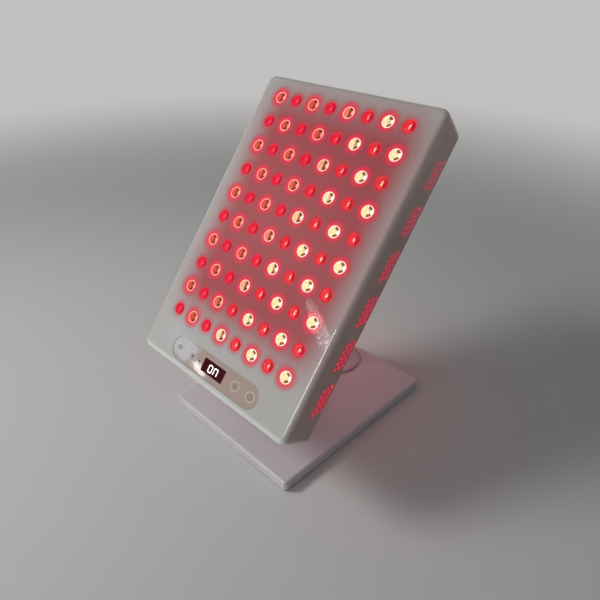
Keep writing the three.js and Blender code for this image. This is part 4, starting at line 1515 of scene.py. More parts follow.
@dataclass
class Housing:
    """The front moulding with its lens holes, vents and control recess.

    Attributes are millimetres, and counts.
    """

    width: float = 197.0
    height: float = 300.0
    depth: float = 36.0
    corner: float = 9.0
    edge: float = 6.0
    wall: float = 2.5
    face: float = FACE
    hole_r: float = 5.85
    strip_w: float = 115.0
    strip_h: float = 23.0
    post_r: float = 3.6
    post_start: float = 21.0
    post_end: float = 32.8

    def post_places(self) -> list[Place]:
        """Lists the screw posts in the panel's frame."""
        x, z = self.width / 2 - 9.5, self.height / 2 - 10.5
        return [(-x, 0, -z), (x, 0, -z), (x, 0, 0), (x, 0, z), (-x, 0, z), (-x, 0, 0)]

    def _blank(self) -> Shape:
        """Makes the open tray with its rounded front edge and its posts."""
        back = self.face + self.depth
        bm = slab(block(self.width, self.height), self.corner, self.face, back, 10)
        soften(bm, rim(bm, self.face), self.edge, 8)
        lid = [f for f in bm.faces if all(v.co.y > back - NEAR for v in f.verts)]
        bmesh.ops.delete(bm, geom=lid, context="FACES_ONLY")
        bmesh.ops.recalc_face_normals(bm, faces=bm.faces)
        if sum(f.normal.y for f in bm.faces) > 0:
            bmesh.ops.reverse_faces(bm, faces=bm.faces)
        outer = {tuple(round(v, 2) for v in f.calc_center_median()) for f in bm.faces}
        bmesh.ops.solidify(bm, geom=bm.faces[:], thickness=self.wall)
        bmesh.ops.recalc_face_normals(bm, faces=bm.faces)
        for face in bm.faces:
            middle = face.calc_center_median()
            seen = tuple(round(v, 2) for v in middle) in outer or middle.y > back - 0.1
            face.material_index = 0 if seen else 1
        return bm

    def build(self, kit: Kit, datum: Datum, grid: LensGrid, vents: VentField) -> None:
        """Makes the housing.

        Args:
            kit: The finishes.
            datum: Where the panel lies.
            grid: The field of lenses.
            vents: The groups of vent holes.
        """
        finishes = [kit.shell, kit.vent, kit.hole]
        reach = self.face - 1.0
        drill = turned(
            [(0, reach), (self.hole_r + 0.87, reach), (self.hole_r, self.face + 0.3),
             (self.hole_r, self.face + 4.0), (0, self.face + 4.0)], 36,
        )
        for face in drill.faces:
            middle = face.calc_center_median()
            face.material_index = 2 if middle.y > self.face + 0.5 else 0
        holes = repeated(drill, grid.places())
        pill = oblong(self.strip_w, self.strip_h, reach, self.face + 1.6, 12)
        pocket = block(SCREEN_W + 2 * GAP, SCREEN_H + 2 * GAP)
        screen = slab(pocket, 0.0, self.face + 1.2, self.face + 4.0)
        recess = [moved(pill, z=STRIP_RISE), moved(screen, z=STRIP_RISE)]
        slot = rod(vents.radius, -4.0, 4.0, 12, "X")
        pores = paint(repeated(slot, vents.places()), 1)
        carving = Carving(self._blank(), finishes, [holes, pores, *recess])
        mesh = carving.carve(datum.panel)

        start, end = self.face + self.post_start, self.face + self.post_end
        post = ring(self.post_r, self.post_r - SCREW_HOLE_R, start, end, 16)
        add_to(mesh, repeated(post, self.post_places()), datum.panel)
        Piece(
            "housing_shell", Body.PANEL, "gloss_shell", finishes, ["housing"], 32.0, weighted=True
        ).dress(mesh)


@dataclass
class ControlStrip:
    """The pill-shaped window with its display, dots and touch keys.

    Attributes are millimetres.
    """

    width: float = 114.92
    height: float = 22.92
    front: float = -51.7
    thick: float = 1.0
    level: float = STRIP_RISE
    key_r: float = 5.0
    dot_x: float = 19.2
    keys: dict[Mark, float] = field(
        default_factory=lambda: {Mark.CLOCK: -48.2, Mark.ARROW: -29.4, Mark.BARS: 29.4, Mark.POWER: 48.2}
    )

    def _sign(self, mark: Mark) -> list[Shape]:
        """Makes the printed sign of one key, around the origin.

        Args:
            mark: Which sign.

        Returns:
            Its strokes.
        """
        front, back = self.front - 0.08, self.front + 0.2
        if mark is Mark.POWER:
            arc = ring(2.5, 0.7, front, back, 24)
            gap = [f for f in arc.faces if f.calc_center_median().z > 1.55]
            bmesh.ops.delete(arc, geom=gap, context="FACES")
            return [arc, moved(bar(2.6, 0.7, front, back, 0.1), z=1.5)]
        if mark is Mark.BARS:
            return [moved(bar(3.9, 0.8, front, back, 0.1), x=x) for x in (-1.1, 1.1)]
        if mark is Mark.CLOCK:
            hands = [
                moved(bar(1.9, 0.45, front, back, 0.1), z=0.8),
                moved(laid_over(bar(1.5, 0.45, front, back, 0.1)), x=0.6),
            ]
            return [ring(2.3, 0.45, front, back, 24), *hands]
        return [slab([(-1.3, -1.9), (2.0, 0.0), (-1.3, 1.9)], 0.3, front, back, 3)]

    def _digits(self) -> Shape:
        """Makes the two figures of the display, a nought and an open arch, from straight segments."""
        front, back = self.front - 0.2, self.front + 0.1
        wide, tall, thick = 4.3, 3.2, 1.05
        strokes = []
        for x, parts in ((-3.5, "abcdef"), (3.5, "abcef")):
            across = {"a": tall, "d": -tall}
            for part in parts:
                if part in across:
                    strokes.append(moved(laid_over(bar(wide, thick, front, back, 0.45)), x=x, z=across[part]))
                else:
                    side = wide / 2 if part in "bc" else -wide / 2
                    level = tall / 2 if part in "bf" else -tall / 2
                    strokes.append(moved(bar(tall, thick, front, back, 0.45), x=x + side, z=level))
        return joined(strokes)

    def build(self, kit: Kit, datum: Datum) -> None:
        """Makes the strip.

        Args:
            kit: The finishes.
            datum: Where the panel lies.
        """
        back = self.front + self.thick
        pill = oblong(self.width, self.height, self.front, back, 12)
        soften(pill, rim(pill, self.front), 0.3, 3)
        Piece(
            "window_pill", Body.PANEL, "window_beige", [kit.window], ["control_window"], weighted=True
        ).make(moved(pill, z=self.level), datum.panel)
        glass = slab(block(SCREEN_W, SCREEN_H), 0.5, self.front - 0.12, self.front + 0.3, 4)
        soften(glass, rim(glass, self.front - 0.12), 0.1, 2)
        Piece("display_glass", Body.PANEL, "display_black", [kit.screen]).make(
            moved(glass, z=self.level), datum.panel
        )
        Piece("display_digits", Body.PANEL, "display_black", [kit.digits]).make(
            moved(self._digits(), z=self.level - 0.4), datum.panel
        )
        rings, signs = [], []
        for mark, x in self.keys.items():
            edge = ring(self.key_r, 0.8, self.front - 0.07, self.front + 0.2, 40)
            rings.append(moved(edge, x=x, z=self.level))
            signs += [moved(stroke, x=x, z=self.level) for stroke in self._sign(mark)]
        Piece("key_rings", Body.PANEL, "window_beige", [kit.mark_ring]).make(joined(rings), datum.panel)
        Piece("key_signs", Body.PANEL, "window_beige", [kit.mark_sign]).make(joined(signs), datum.panel)
        profile = [(0, -0.15), (0.7, -0.12), (1.0, 0.1), (0, 0.2)]
        dot = moved(turned(profile, 16), y=self.front)
        dots = repeated(dot, [(self.dot_x, 0.0, self.level), (-self.dot_x, 0.0, self.level)])
        for face in dots.faces:
            face.material_index = 0 if face.calc_center_median().x > 0 else 1
        Piece("indicator_dots", Body.PANEL, "window_beige", [kit.dot_red, kit.screen]).make(dots, datum.panel)


@dataclass
class RearSide:
    """The rear cover, its screws and the power inlet.

    Attributes are millimetres.
    """

    width: float = 191.4
    height: float = 294.4
    corner: float = 6.2
    front: float = -18.9
    thick: float = 2.5
    grille_r: float = 27.0
    slot_w: float = 4.2
    slot_pitch: float = 8.0
    slots: int = 6
    inlet_x: float = 52.0
    inlet_z: float = -128.0
    inlet_w: float = 26.0
    inlet_h: float = 17.0
    prong_x: float = 4.3

    def _cover(self, kit: Kit, datum: Datum, posts: list[Place]) -> None:
        """Makes the cover with its grille, screw holes and inlet opening.

        Args:
            kit: The finishes.
            datum: Where the panel lies.
            posts: Places of the cover screws.
        """
        back = self.front + self.thick
        blank = slab(block(self.width, self.height), self.corner, self.front, back, 10)
        soften(blank, rim(blank, back), 0.7, 3)
        slots = []
        for i in range(self.slots):
            x = (i - (self.slots - 1) / 2) * self.slot_pitch
            tall = 2 * math.sqrt(self.grille_r**2 - x**2)
            slot = oblong(self.slot_w, tall, self.front - 1, back + 1, 6)
            slots.append(moved(slot, x=x, z=FAN_RISE))
        hole = rod(SCREW_HOLE_R, self.front - 1, back + 1, 20)
        fit = block(self.inlet_w + 2 * GAP, self.inlet_h + 2 * GAP)
        opening = slab(fit, 0.0, self.front - 1, back + 1)
        tools = [
            joined(slots), repeated(hole, posts + BRACKET_SPOTS),
            moved(opening, x=self.inlet_x, z=self.inlet_z),
        ]
        mesh = Carving(blank, [kit.shell], tools).carve(datum.panel)
        Piece(
            "cover_back", Body.PANEL, "gloss_shell", [kit.shell], ["rear_cover"], 32.0, weighted=True
        ).dress(mesh)

    def _inlet(self, kit: Kit, datum: Datum) -> None:
        """Makes the power inlet's flange, socket and pins.

        Args:
            kit: The finishes.
            datum: Where the panel lies.
        """
        seat = self.front + self.thick + GAP
        top = seat + 1.8
        flange = slab(block(self.inlet_w + 6.0, self.inlet_h + 6.0), 3.0, seat, top, 6)
        soften(flange, rim(flange, top), 0.6, 3)
        core = slab(block(self.inlet_w, self.inlet_h), 1.0, top - 18.0, seat + 0.6, 3)
        mouth = slab(block(17.0, 10.0), 4.85, top - 13.0, top + 1.0, 8)
        bevel = slab(block(18.0, 11.0), 5.3, top - 0.5, top + 1.0, 8)
        mesh = Carving(joined([flange, core]), [kit.black], [mouth, bevel]).carve(
            datum.panel @ Matrix.Translation((self.inlet_x, 0.0, self.inlet_z))
        )
        Piece("inlet_socket", Body.PANEL, "black_plastic", [kit.black], ["inlet"], weighted=True).dress(mesh)
        pin = turned(
            [(0, top - 18.0), (1.2, top - 18.0), (1.2, top - 3.6), (0.95, top - 3.15), (0, top - 3.0)], 20
        )
        spots = [(self.inlet_x + x, 0.0, self.inlet_z) for x in (-self.prong_x, self.prong_x)]
        pins = repeated(pin, spots)
        Piece(
            "inlet_pins", Body.PANEL, "screw_steel", [kit.steel], ["inlet_pin_left", "inlet_pin_right"]
        ).make(pins, datum.panel)

    def build(self, kit: Kit, datum: Datum, posts: list[Place]) -> None:
        """Makes the whole rear side.

        Args:
            kit: The finishes.
            datum: Where the panel lies.
            posts: Places of the cover screws.
        """
        self._cover(kit, datum, posts)
        self._inlet(kit, datum)
        names = [f"cover_screw_{i}" for i in range(1, 7)]
        seat = self.front + self.thick + GAP
        screws = repeated(Screw().mesh(seat, 12.0), posts)
        made = Piece("cover_screws", Body.PANEL, "screw_steel", [kit.steel, kit.black], names)
        made.make(screws, datum.panel)


@dataclass
class Screw:
    """A pan-head screw with a cross recess.

    Attributes are millimetres.
    """

    shank_r: float = 1.5
    head_r: float = 2.9
    head_t: float = 1.7

    def mesh(self, seat: float, length: float) -> Shape:
        """Makes the screw along Y.

        Args:
            seat: Where the head rests.
            length: Length of the shank.

        Returns:
            The screw, with the recess in the second finish.
        """
        top = seat + self.head_t
        profile = [
            (0, seat - length), (self.shank_r * 0.6, seat - length), (self.shank_r, seat - length + 1.0),
            (self.shank_r, seat), (self.head_r, seat), (self.head_r, seat + self.head_t * 0.45),
            (self.head_r * 0.84, top - 0.25), (self.head_r * 0.5, top - 0.02), (0, top),
        ]
        parts = [turned(profile, 24)]
        for turn in (False, True):
            stroke = bar(self.head_r * 1.15, 0.62, top - 0.5, top + 0.03, 0.2)
            parts.append(paint(laid_over(stroke) if turn else stroke, 1))
        return joined(parts)


@dataclass
class Fan:
    """The small cooling fan behind the grille.

    Attributes are millimetres, and counts.
    """

    width: float = 60.0
    corner: float = 5.0
    bore_r: float = 28.0
    rise: float = FAN_RISE
    front: float = -31.2
    back: float = -19.2
    hub_r: float = 12.0
    blades: int = 7
    tip_r: float = 26.5
    hole_x: float = 25.5

    def _frame(self, kit: Kit, datum: Datum) -> None:
        """Makes the square frame with its bore, struts and corner holes.

        Args:
            kit: The finishes.
            datum: Where the panel lies.
        """
        blank = slab(block(self.width, self.width), self.corner, self.front, self.back, 8)
        bore = rod(self.bore_r, self.front - 1, self.back + 1, 64)
        hole = rod(2.1, self.front - 1, self.back + 1, 20)
        corners = repeated(hole, [(x, 0.0, z) for x, z in block(2 * self.hole_x, 2 * self.hole_x)])
        place = datum.panel @ Matrix.Translation((0, 0, self.rise))
        mesh = Carving(blank, [kit.black], [bore, corners]).carve(place)
        struts = [rod(self.hub_r, self.front, self.front + 2.0, 40)]
        for turn in (False, True):
            strut = slab(block(2 * self.bore_r + 2.0, 5.0), 0.6, self.front, self.front + 2.0, 3)
            struts.append(laid_over(strut) if turn else strut)
        struts.append(rod(2.0, self.front + 1.0, -25.2, 16))
        add_to(mesh, joined(struts), place)
        Piece(
            "fan_housing", Body.PANEL, "black_plastic", [kit.black], ["fan_frame"], 32.0, weighted=True
        ).dress(mesh)

    def _blade(self) -> Shape:
        """Makes one curved, pitched blade out from the hub."""
        bm = bmesh.new()
        bmesh.ops.create_grid(bm, x_segments=8, y_segments=6, size=0.5)
        low, high = self.front + 3.2, self.back - 1.3
        for v in bm.verts:
            out, along = v.co.x + 0.5, v.co.y + 0.5
            radius = self.hub_r - 0.6 + out * (self.tip_r - self.hub_r + 0.6)
            bow = 7.0 * math.sin(math.pi * along)
            sweep = math.radians(8.0 * out + (42.0 - 14.0 * out) * (along - 0.5) + bow)
            v.co = Vector((radius * math.cos(sweep), low + along * (high - low), radius * math.sin(sweep)))
        bmesh.ops.recalc_face_normals(bm, faces=bm.faces)
        bmesh.ops.solidify(bm, geom=bm.faces[:], thickness=1.1)
        bmesh.ops.recalc_face_normals(bm, faces=bm.faces)
        return bm

    def build(self, kit: Kit, datum: Datum) -> None:
        """Makes the frame and the rotor.

        Args:
            kit: The finishes.
            datum: Where the panel lies.
        """
        self._frame(kit, datum)
        low, high = self.front + 2.3, self.back - 0.3
        hub = turned(
            [(2.3, low), (self.hub_r, low), (self.hub_r, high - 1.2), (self.hub_r - 0.4, high - 0.4),
             (self.hub_r - 1.2, high), (0, high), (0, -24.6), (2.3, -24.6)], 48,
        )
        parts = [hub]
        for i in range(self.blades):
            parts.append(rotated(self._blade(), i * math.tau / self.blades, "Y"))
        Piece("fan_blades", Body.FAN, "black_plastic", [kit.black], ["fan_rotor"]).make(
            moved(joined(parts), z=self.rise), datum.panel
        )


@dataclass
class Hinge:
    """The bracket on the panel, and the pin, caps and washers on the arm.

    Attributes are millimetres.
    """

    seat: float = -16.1
    plate_w: float = 62.0
    plate_h: float = 50.0
    plate_t: float = 3.0
    ear_r: float = 11.5
    ear_in: float = 14.8
    ear_t: float = 5.0
    washer_in: float = 13.3
    washer_t: float = 1.2

    def _ear(self) -> Shape:
        """Makes an ear across X, from the plate to its round end."""
        points = [(self.seat + 1.5, -18.0), (self.seat + self.plate_t, -18.0)]
        steps = 20
        first = -math.pi / 2 - 0.35
        for k in range(steps + 1):
            angle = first + (math.pi + 0.7) * k / steps
            points.append((self.ear_r * math.cos(angle), self.ear_r * math.sin(angle)))
        points += [(self.seat + self.plate_t, 18.0), (self.seat + 1.5, 18.0)]
        bm = raised([(0.0, y, z) for y, z in points], (self.ear_t, 0.0, 0.0))
        bmesh.ops.recalc_face_normals(bm, faces=bm.faces)
        rims = [e for e in bm.edges if abs(e.verts[0].co.x - e.verts[1].co.x) < NEAR]
        soften(bm, rims, 0.6, 3)
        return bm

    def build(self, kit: Kit, datum: Datum) -> None:
        """Makes the hinge.

        Args:
            kit: The finishes.
            datum: Where the panel lies.
        """
        plate = slab(block(self.plate_w, self.plate_h), 3.0, self.seat, self.seat + self.plate_t, 6)
        soften(plate, rim(plate, self.seat + self.plate_t), 0.6, 3)
        ears = [moved(self._ear(), x=self.ear_in), moved(self._ear(), x=-self.ear_in - self.ear_t)]
        bore = rod(PIN_R + GAP, -40.0, 40.0, 40, "X")
        hole = rod(SCREW_HOLE_R, self.seat - 1, self.seat + self.plate_t + 1, 20)
        holes = repeated(hole, BRACKET_SPOTS)
        mesh = Carving(joined([plate, *ears]), [kit.arm], [bore, holes]).carve(datum.panel)
        Piece(
            "bracket_forged", Body.PANEL, "arm_metal", [kit.arm], ["hinge_bracket"], weighted=True
        ).dress(mesh)
        names = [f"bracket_screw_{i}" for i in range(1, 5)]
        screws = repeated(Screw().mesh(self.seat + self.plate_t + GAP, 11.5), BRACKET_SPOTS)
        made = Piece("bracket_screws", Body.PANEL, "screw_steel", [kit.steel, kit.black], names)
        made.make(screws, datum.panel)

        end = self.ear_in + self.ear_t
        half = [(0, end), (PIN_R - 0.4, end), (PIN_R, end - 0.4)]
        pin = turned([(r, -x) for r, x in half] + half[::-1], 40, "X")
        Piece("pin_turned", Body.STAND, "screw_steel", [kit.steel], ["hinge_pin"]).make(pin, datum.axle)
        profile = [
            (0, 0.0), (8.0, 0.0), (8.0, 2.2), (7.75, 2.9), (7.1, 3.5), (6.1, 3.85), (4.2, 4.0), (4.0, 3.75),
            (0, 3.7),
        ]
        for side, name in ((1, "hinge_cap_right"), (-1, "hinge_cap_left")):
            cap = moved(turned(profile, 48, "X"), x=end + GAP)
            if side < 0:
                rotated(cap, math.pi, "Z")
            Piece(f"{name}_domed", Body.STAND, "satin_plastic", [kit.base], [name]).make(cap, datum.axle)
        inner, thick = PIN_R + GAP, self.washer_t
        edge = [(inner, 0.0), (9.2, 0.0), (9.5, 0.3), (9.5, thick - 0.3), (9.2, thick), (inner, thick)]
        places = (self.washer_in, -self.washer_in - thick)
        washers = [moved(turned(edge, 40, "X"), x=x) for x in places]
        Piece(
            "washers_turned", Body.STAND, "screw_steel", [kit.steel],
            ["hinge_washer_left", "hinge_washer_right"],
        ).make(joined(washers), datum.axle)


@dataclass
class Stand:
    """The base, the oblong foot and the curved arm.

    Attributes are millimetres.
    """

    front_w: float = 166.0
    back_w: float = 214.0
    depth: float = 208.0
    under: float = 1.5
    top: float = 13.5
    corner: float = 3.0
    edge: float = 2.8
    wall: float = 3.0
    arm_y: float = 68.9
    collar_w: float = 77.0
    collar_d: float = 50.0
    collar_up: float = 3.0
    seam: float = 3.2
    seam_deep: float = 1.6
    hinge_ahead: float = 54.3
    hinge_z: float = 178.0
    arm_w: float = 36.0
    arm_d: float = 24.0
    neck_w: float = 24.0
    neck_d: float = 14.0
    barrel_r: float = 11.0
    barrel_w: float = 26.0
    foot_in: float = 15.0
    bolt_r: float = 2.8
    bolt_x: float = 9.0

    def _bolt_places(self) -> list[Place]:
        """Lists the two bolts under the arm."""
        return [(-self.bolt_x, self.arm_y, 0.0), (self.bolt_x, self.arm_y, 0.0)]

    def outline(self, inset: float = 0.0) -> list[Point]:
        """Lists the corners of the base's outline.

        Args:
            inset: How far its sides are drawn in.

        Returns:
            The corners as (x, y).
        """
        slope = math.atan2((self.back_w - self.front_w) / 2, self.depth)
        y = self.depth / 2 - inset

        def half(at: float) -> float:
            """Gives the half width at a place from front to back."""
            share = at / self.depth + 0.5
            return (self.front_w + (self.back_w - self.front_w) * share) / 2 - inset / math.cos(slope)

        return [(-half(-y), -y), (half(-y), -y), (half(y), y), (-half(y), y)]

    @staticmethod
    def _flat(bm: Shape) -> Shape:
        """Lays a slab that was drawn across Y down onto Z, so that (x, z) becomes (x, y)."""
        bm.transform(Matrix(((1, 0, 0, 0), (0, 0, 1, 0), (0, 1, 0, 0), (0, 0, 0, 1))))
        bmesh.ops.recalc_face_normals(bm, faces=bm.faces)
        return bm

    def _base(self, kit: Kit, datum: Datum) -> None:
        """Makes the base shell with its rounded edges and the recess around the foot.

        Args:
            kit: The finishes.
            datum: Where the base lies.
        """
        blank = self._flat(slab(self.outline(), self.corner, self.under, self.top, 8))
        soften(blank, rim(blank, self.top, 2), self.edge, 7)
        soften(blank, rim(blank, self.under, 2), 0.7, 3)
        hollow = self._flat(slab(self.outline(self.wall), 1.0, self.under - 1.0, self.top - self.wall, 4))
        wide, deep = self.collar_w + 2 * self.seam, self.collar_d + 2 * self.seam
        pill = oblong(wide, deep, self.top - self.seam_deep, self.top + 1.0, 16)
        pocket = moved(self._flat(pill), y=self.arm_y)
        bolt = rod(self.bolt_r, self.under, self.top + 1, 20, "Z")
        bolts = repeated(bolt, self._bolt_places())
        mesh = Carving(blank, [kit.base], [hollow, pocket, bolts]).carve(datum.base)
        Piece(
            "base_moulded", Body.STAND, "satin_plastic", [kit.base], ["base_shell"], 32.0, weighted=True
        ).dress(mesh)

    def _collar(self, kit: Kit, datum: Datum) -> None:
        """Makes the oblong foot around the arm.

        Args:
            kit: The finishes.
            datum: Where the base lies.
        """
        low, high = self.top - self.seam_deep + GAP, self.top + self.collar_up
        blank = self._flat(oblong(self.collar_w, self.collar_d, low, high, 16))
        soften(blank, rim(blank, high, 2), 1.2, 5)
        fit = block(self.arm_w + 2 * GAP, self.arm_d + 2 * GAP)
        opening = self._flat(slab(fit, self.arm_d / 2, low - 1.0, high + 1.0, 12))
        place = datum.base @ Matrix.Translation((0.0, self.arm_y, 0.0))
        mesh = Carving(blank, [kit.foot], [opening]).carve(place)
        Piece(
            "collar_oblong", Body.STAND, "satin_plastic", [kit.foot], ["arm_collar"], 32.0, weighted=True
        ).dress(mesh)

    def _arm(self, kit: Kit, datum: Datum) -> None:
        """Makes the curved arm with its barrel.

        Args:
            kit: The finishes.
            datum: Where the base lies.
        """
        foot = Vector((0.0, self.arm_y, self.top - self.seam_deep + GAP))
        head = Vector((0.0, self.arm_y - self.hinge_ahead, self.hinge_z))
        rise = head.z - foot.z
        handles = [
            foot,
            Vector((0.0, self.arm_y, foot.z + rise / 3)),
            Vector((0.0, head.y + self.hinge_ahead * 0.35, head.z - rise / 3)),
            head,
        ]
        steps = 28
        bm = bmesh.new()
        loop: list[Vert] = []
        edges: list[Edge] = []
        for k in range(steps + 1):
            share = k / steps
            middle, along = self._bezier(handles, share)
            normal = Vector((0.0, along.z, -along.y))
            wide = self.arm_w + (self.neck_w - self.arm_w) * share
            deep = self.arm_d + (self.neck_d - self.arm_d) * share
            rim_at = self._stadium(wide, deep, 10)
            spots = [Vector((x, 0.0, 0.0)) + middle + normal * y for x, y in rim_at]
            if not loop:
                loop = [bm.verts.new(p) for p in spots]
                face = bm.faces.new(loop)
                edges = list(face.edges)
                continue
            made = bmesh.ops.extrude_edge_only(bm, edges=edges)
            fresh = [v for v in made["geom"] if isinstance(v, Vert)]
            edges = [e for e in made["geom"] if isinstance(e, Edge) and all(v in fresh for v in e.verts)]
            by_old = {self._partner(v, fresh): v for v in fresh}
            loop = [by_old[old] for old in loop]
            for v, p in zip(loop, spots):
                v.co = p
        bm.faces.new(loop)
        bmesh.ops.recalc_face_normals(bm, faces=bm.faces)
        end, inner = self.barrel_w / 2, PIN_R + GAP
        half = [(inner, end), (self.barrel_r - 0.6, end), (self.barrel_r, end - 0.6)]
        barrel = turned([(r, -x) for r, x in half] + half[::-1], 56, "X")
        bore = rod(inner, -20.0, 20.0, 40, "X")
        pilot = rod(self.bolt_r, 5.0, 28.9, 20, "Z")
        pilots = repeated(pilot, self._bolt_places())
        mesh = Carving(bm, [kit.arm], [moved(bore, y=head.y, z=head.z), pilots]).carve(datum.base)
        add_to(mesh, barrel, datum.axle)
        Piece("arm_curved", Body.STAND, "arm_metal", [kit.arm], ["arm"], 40.0, weighted=True).dress(mesh)

    @staticmethod
    def _partner(vert: Vert, fresh: Sequence[Vert]) -> Vert:
        """Finds the vertex that a new one was drawn out of."""
        for edge in vert.link_edges:
            other = edge.other_vert(vert)
            if other not in fresh:
                return other
        raise ValueError("a drawn vertex has no partner")

    @staticmethod
    def _stadium(wide: float, deep: float, steps: int) -> list[Point]:
        """Lists the outline of a flat bar with round ends.

        Args:
            wide: Its width.
            deep: Its depth, and the diameter of its ends.
            steps: Facets around each end.

        Returns:
            The outline as (across, deep).
        """
        radius, reach = deep / 2, (wide - deep) / 2
        points = []
        for side, first in ((1, -math.pi / 2), (-1, math.pi / 2)):
            for k in range(steps + 1):
                angle = first + math.pi * k / steps
                points.append((side * reach + radius * math.cos(angle), radius * math.sin(angle)))
        return points

    @staticmethod
    def _bezier(handles: Sequence[Vector], share: float) -> tuple[Vector, Vector]:
        """Gives a place and direction on a curve.

        Args:
            handles: Its four points.
            share: How far along it.

        Returns:
            The place and the unit direction.
        """
        a, b, c, d = handles
        rest = 1.0 - share
        place = rest**3 * a + 3 * rest**2 * share * b + 3 * rest * share**2 * c + share**3 * d
        along = 3 * rest**2 * (b - a) + 6 * rest * share * (c - b) + 3 * share**2 * (d - c)
        return place, along.normalized()

    def _feet(self, kit: Kit, datum: Datum) -> None:
        """Makes the rubber feet.

        Args:
            kit: The finishes.
            datum: Where the base lies.
        """
        profile = [(0, 0.35), (4.5, 0.35), (5.2, 0.0), (7.4, 0.0), (8.0, 0.6), (8.0, 2.7), (0, 2.7)]
        spots = [(x, y, 0.0) for x, y in self.outline(self.foot_in)]
        names = ["foot_front_left", "foot_front_right", "foot_back_right", "foot_back_left"]
        Piece("feet_rubber", Body.STAND, "foot_rubber", [kit.rubber], names).make(
            repeated(turned(profile, 36, "Z"), spots), datum.base
        )

    def build(self, kit: Kit, datum: Datum) -> None:
        """Makes the stand.

        Args:
            kit: The finishes.
            datum: Where the base lies.
        """
        self._base(kit, datum)
        self._collar(kit, datum)
        self._arm(kit, datum)
        self._feet(kit, datum)


@dataclass(frozen=True)
class Innards:
    """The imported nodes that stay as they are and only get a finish."""

    def dress(self, nodes: dict[str, bpy.types.Object], kit: Kit) -> None:
        """Gives each kept node its finish.

        Args:
            nodes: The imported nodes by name.
            kit: The finishes.
        """
        looks = {
            "base_ballast": kit.steel, "base_bottom": kit.base, "heat_sink": kit.alloy,
            "driver_board": kit.board, "control_board": kit.board, "display": kit.screen,
            "arm_bolt_left": kit.steel, "arm_bolt_right": kit.steel,
        }
        looks.update({f"base_screw_{i}": kit.steel for i in range(1, 5)})
        for name, finish in looks.items():
            node = nodes[name]
            node.data.materials.clear()
            node.data.materials.append(finish)
        log.info("kept nodes: %d", len(looks))


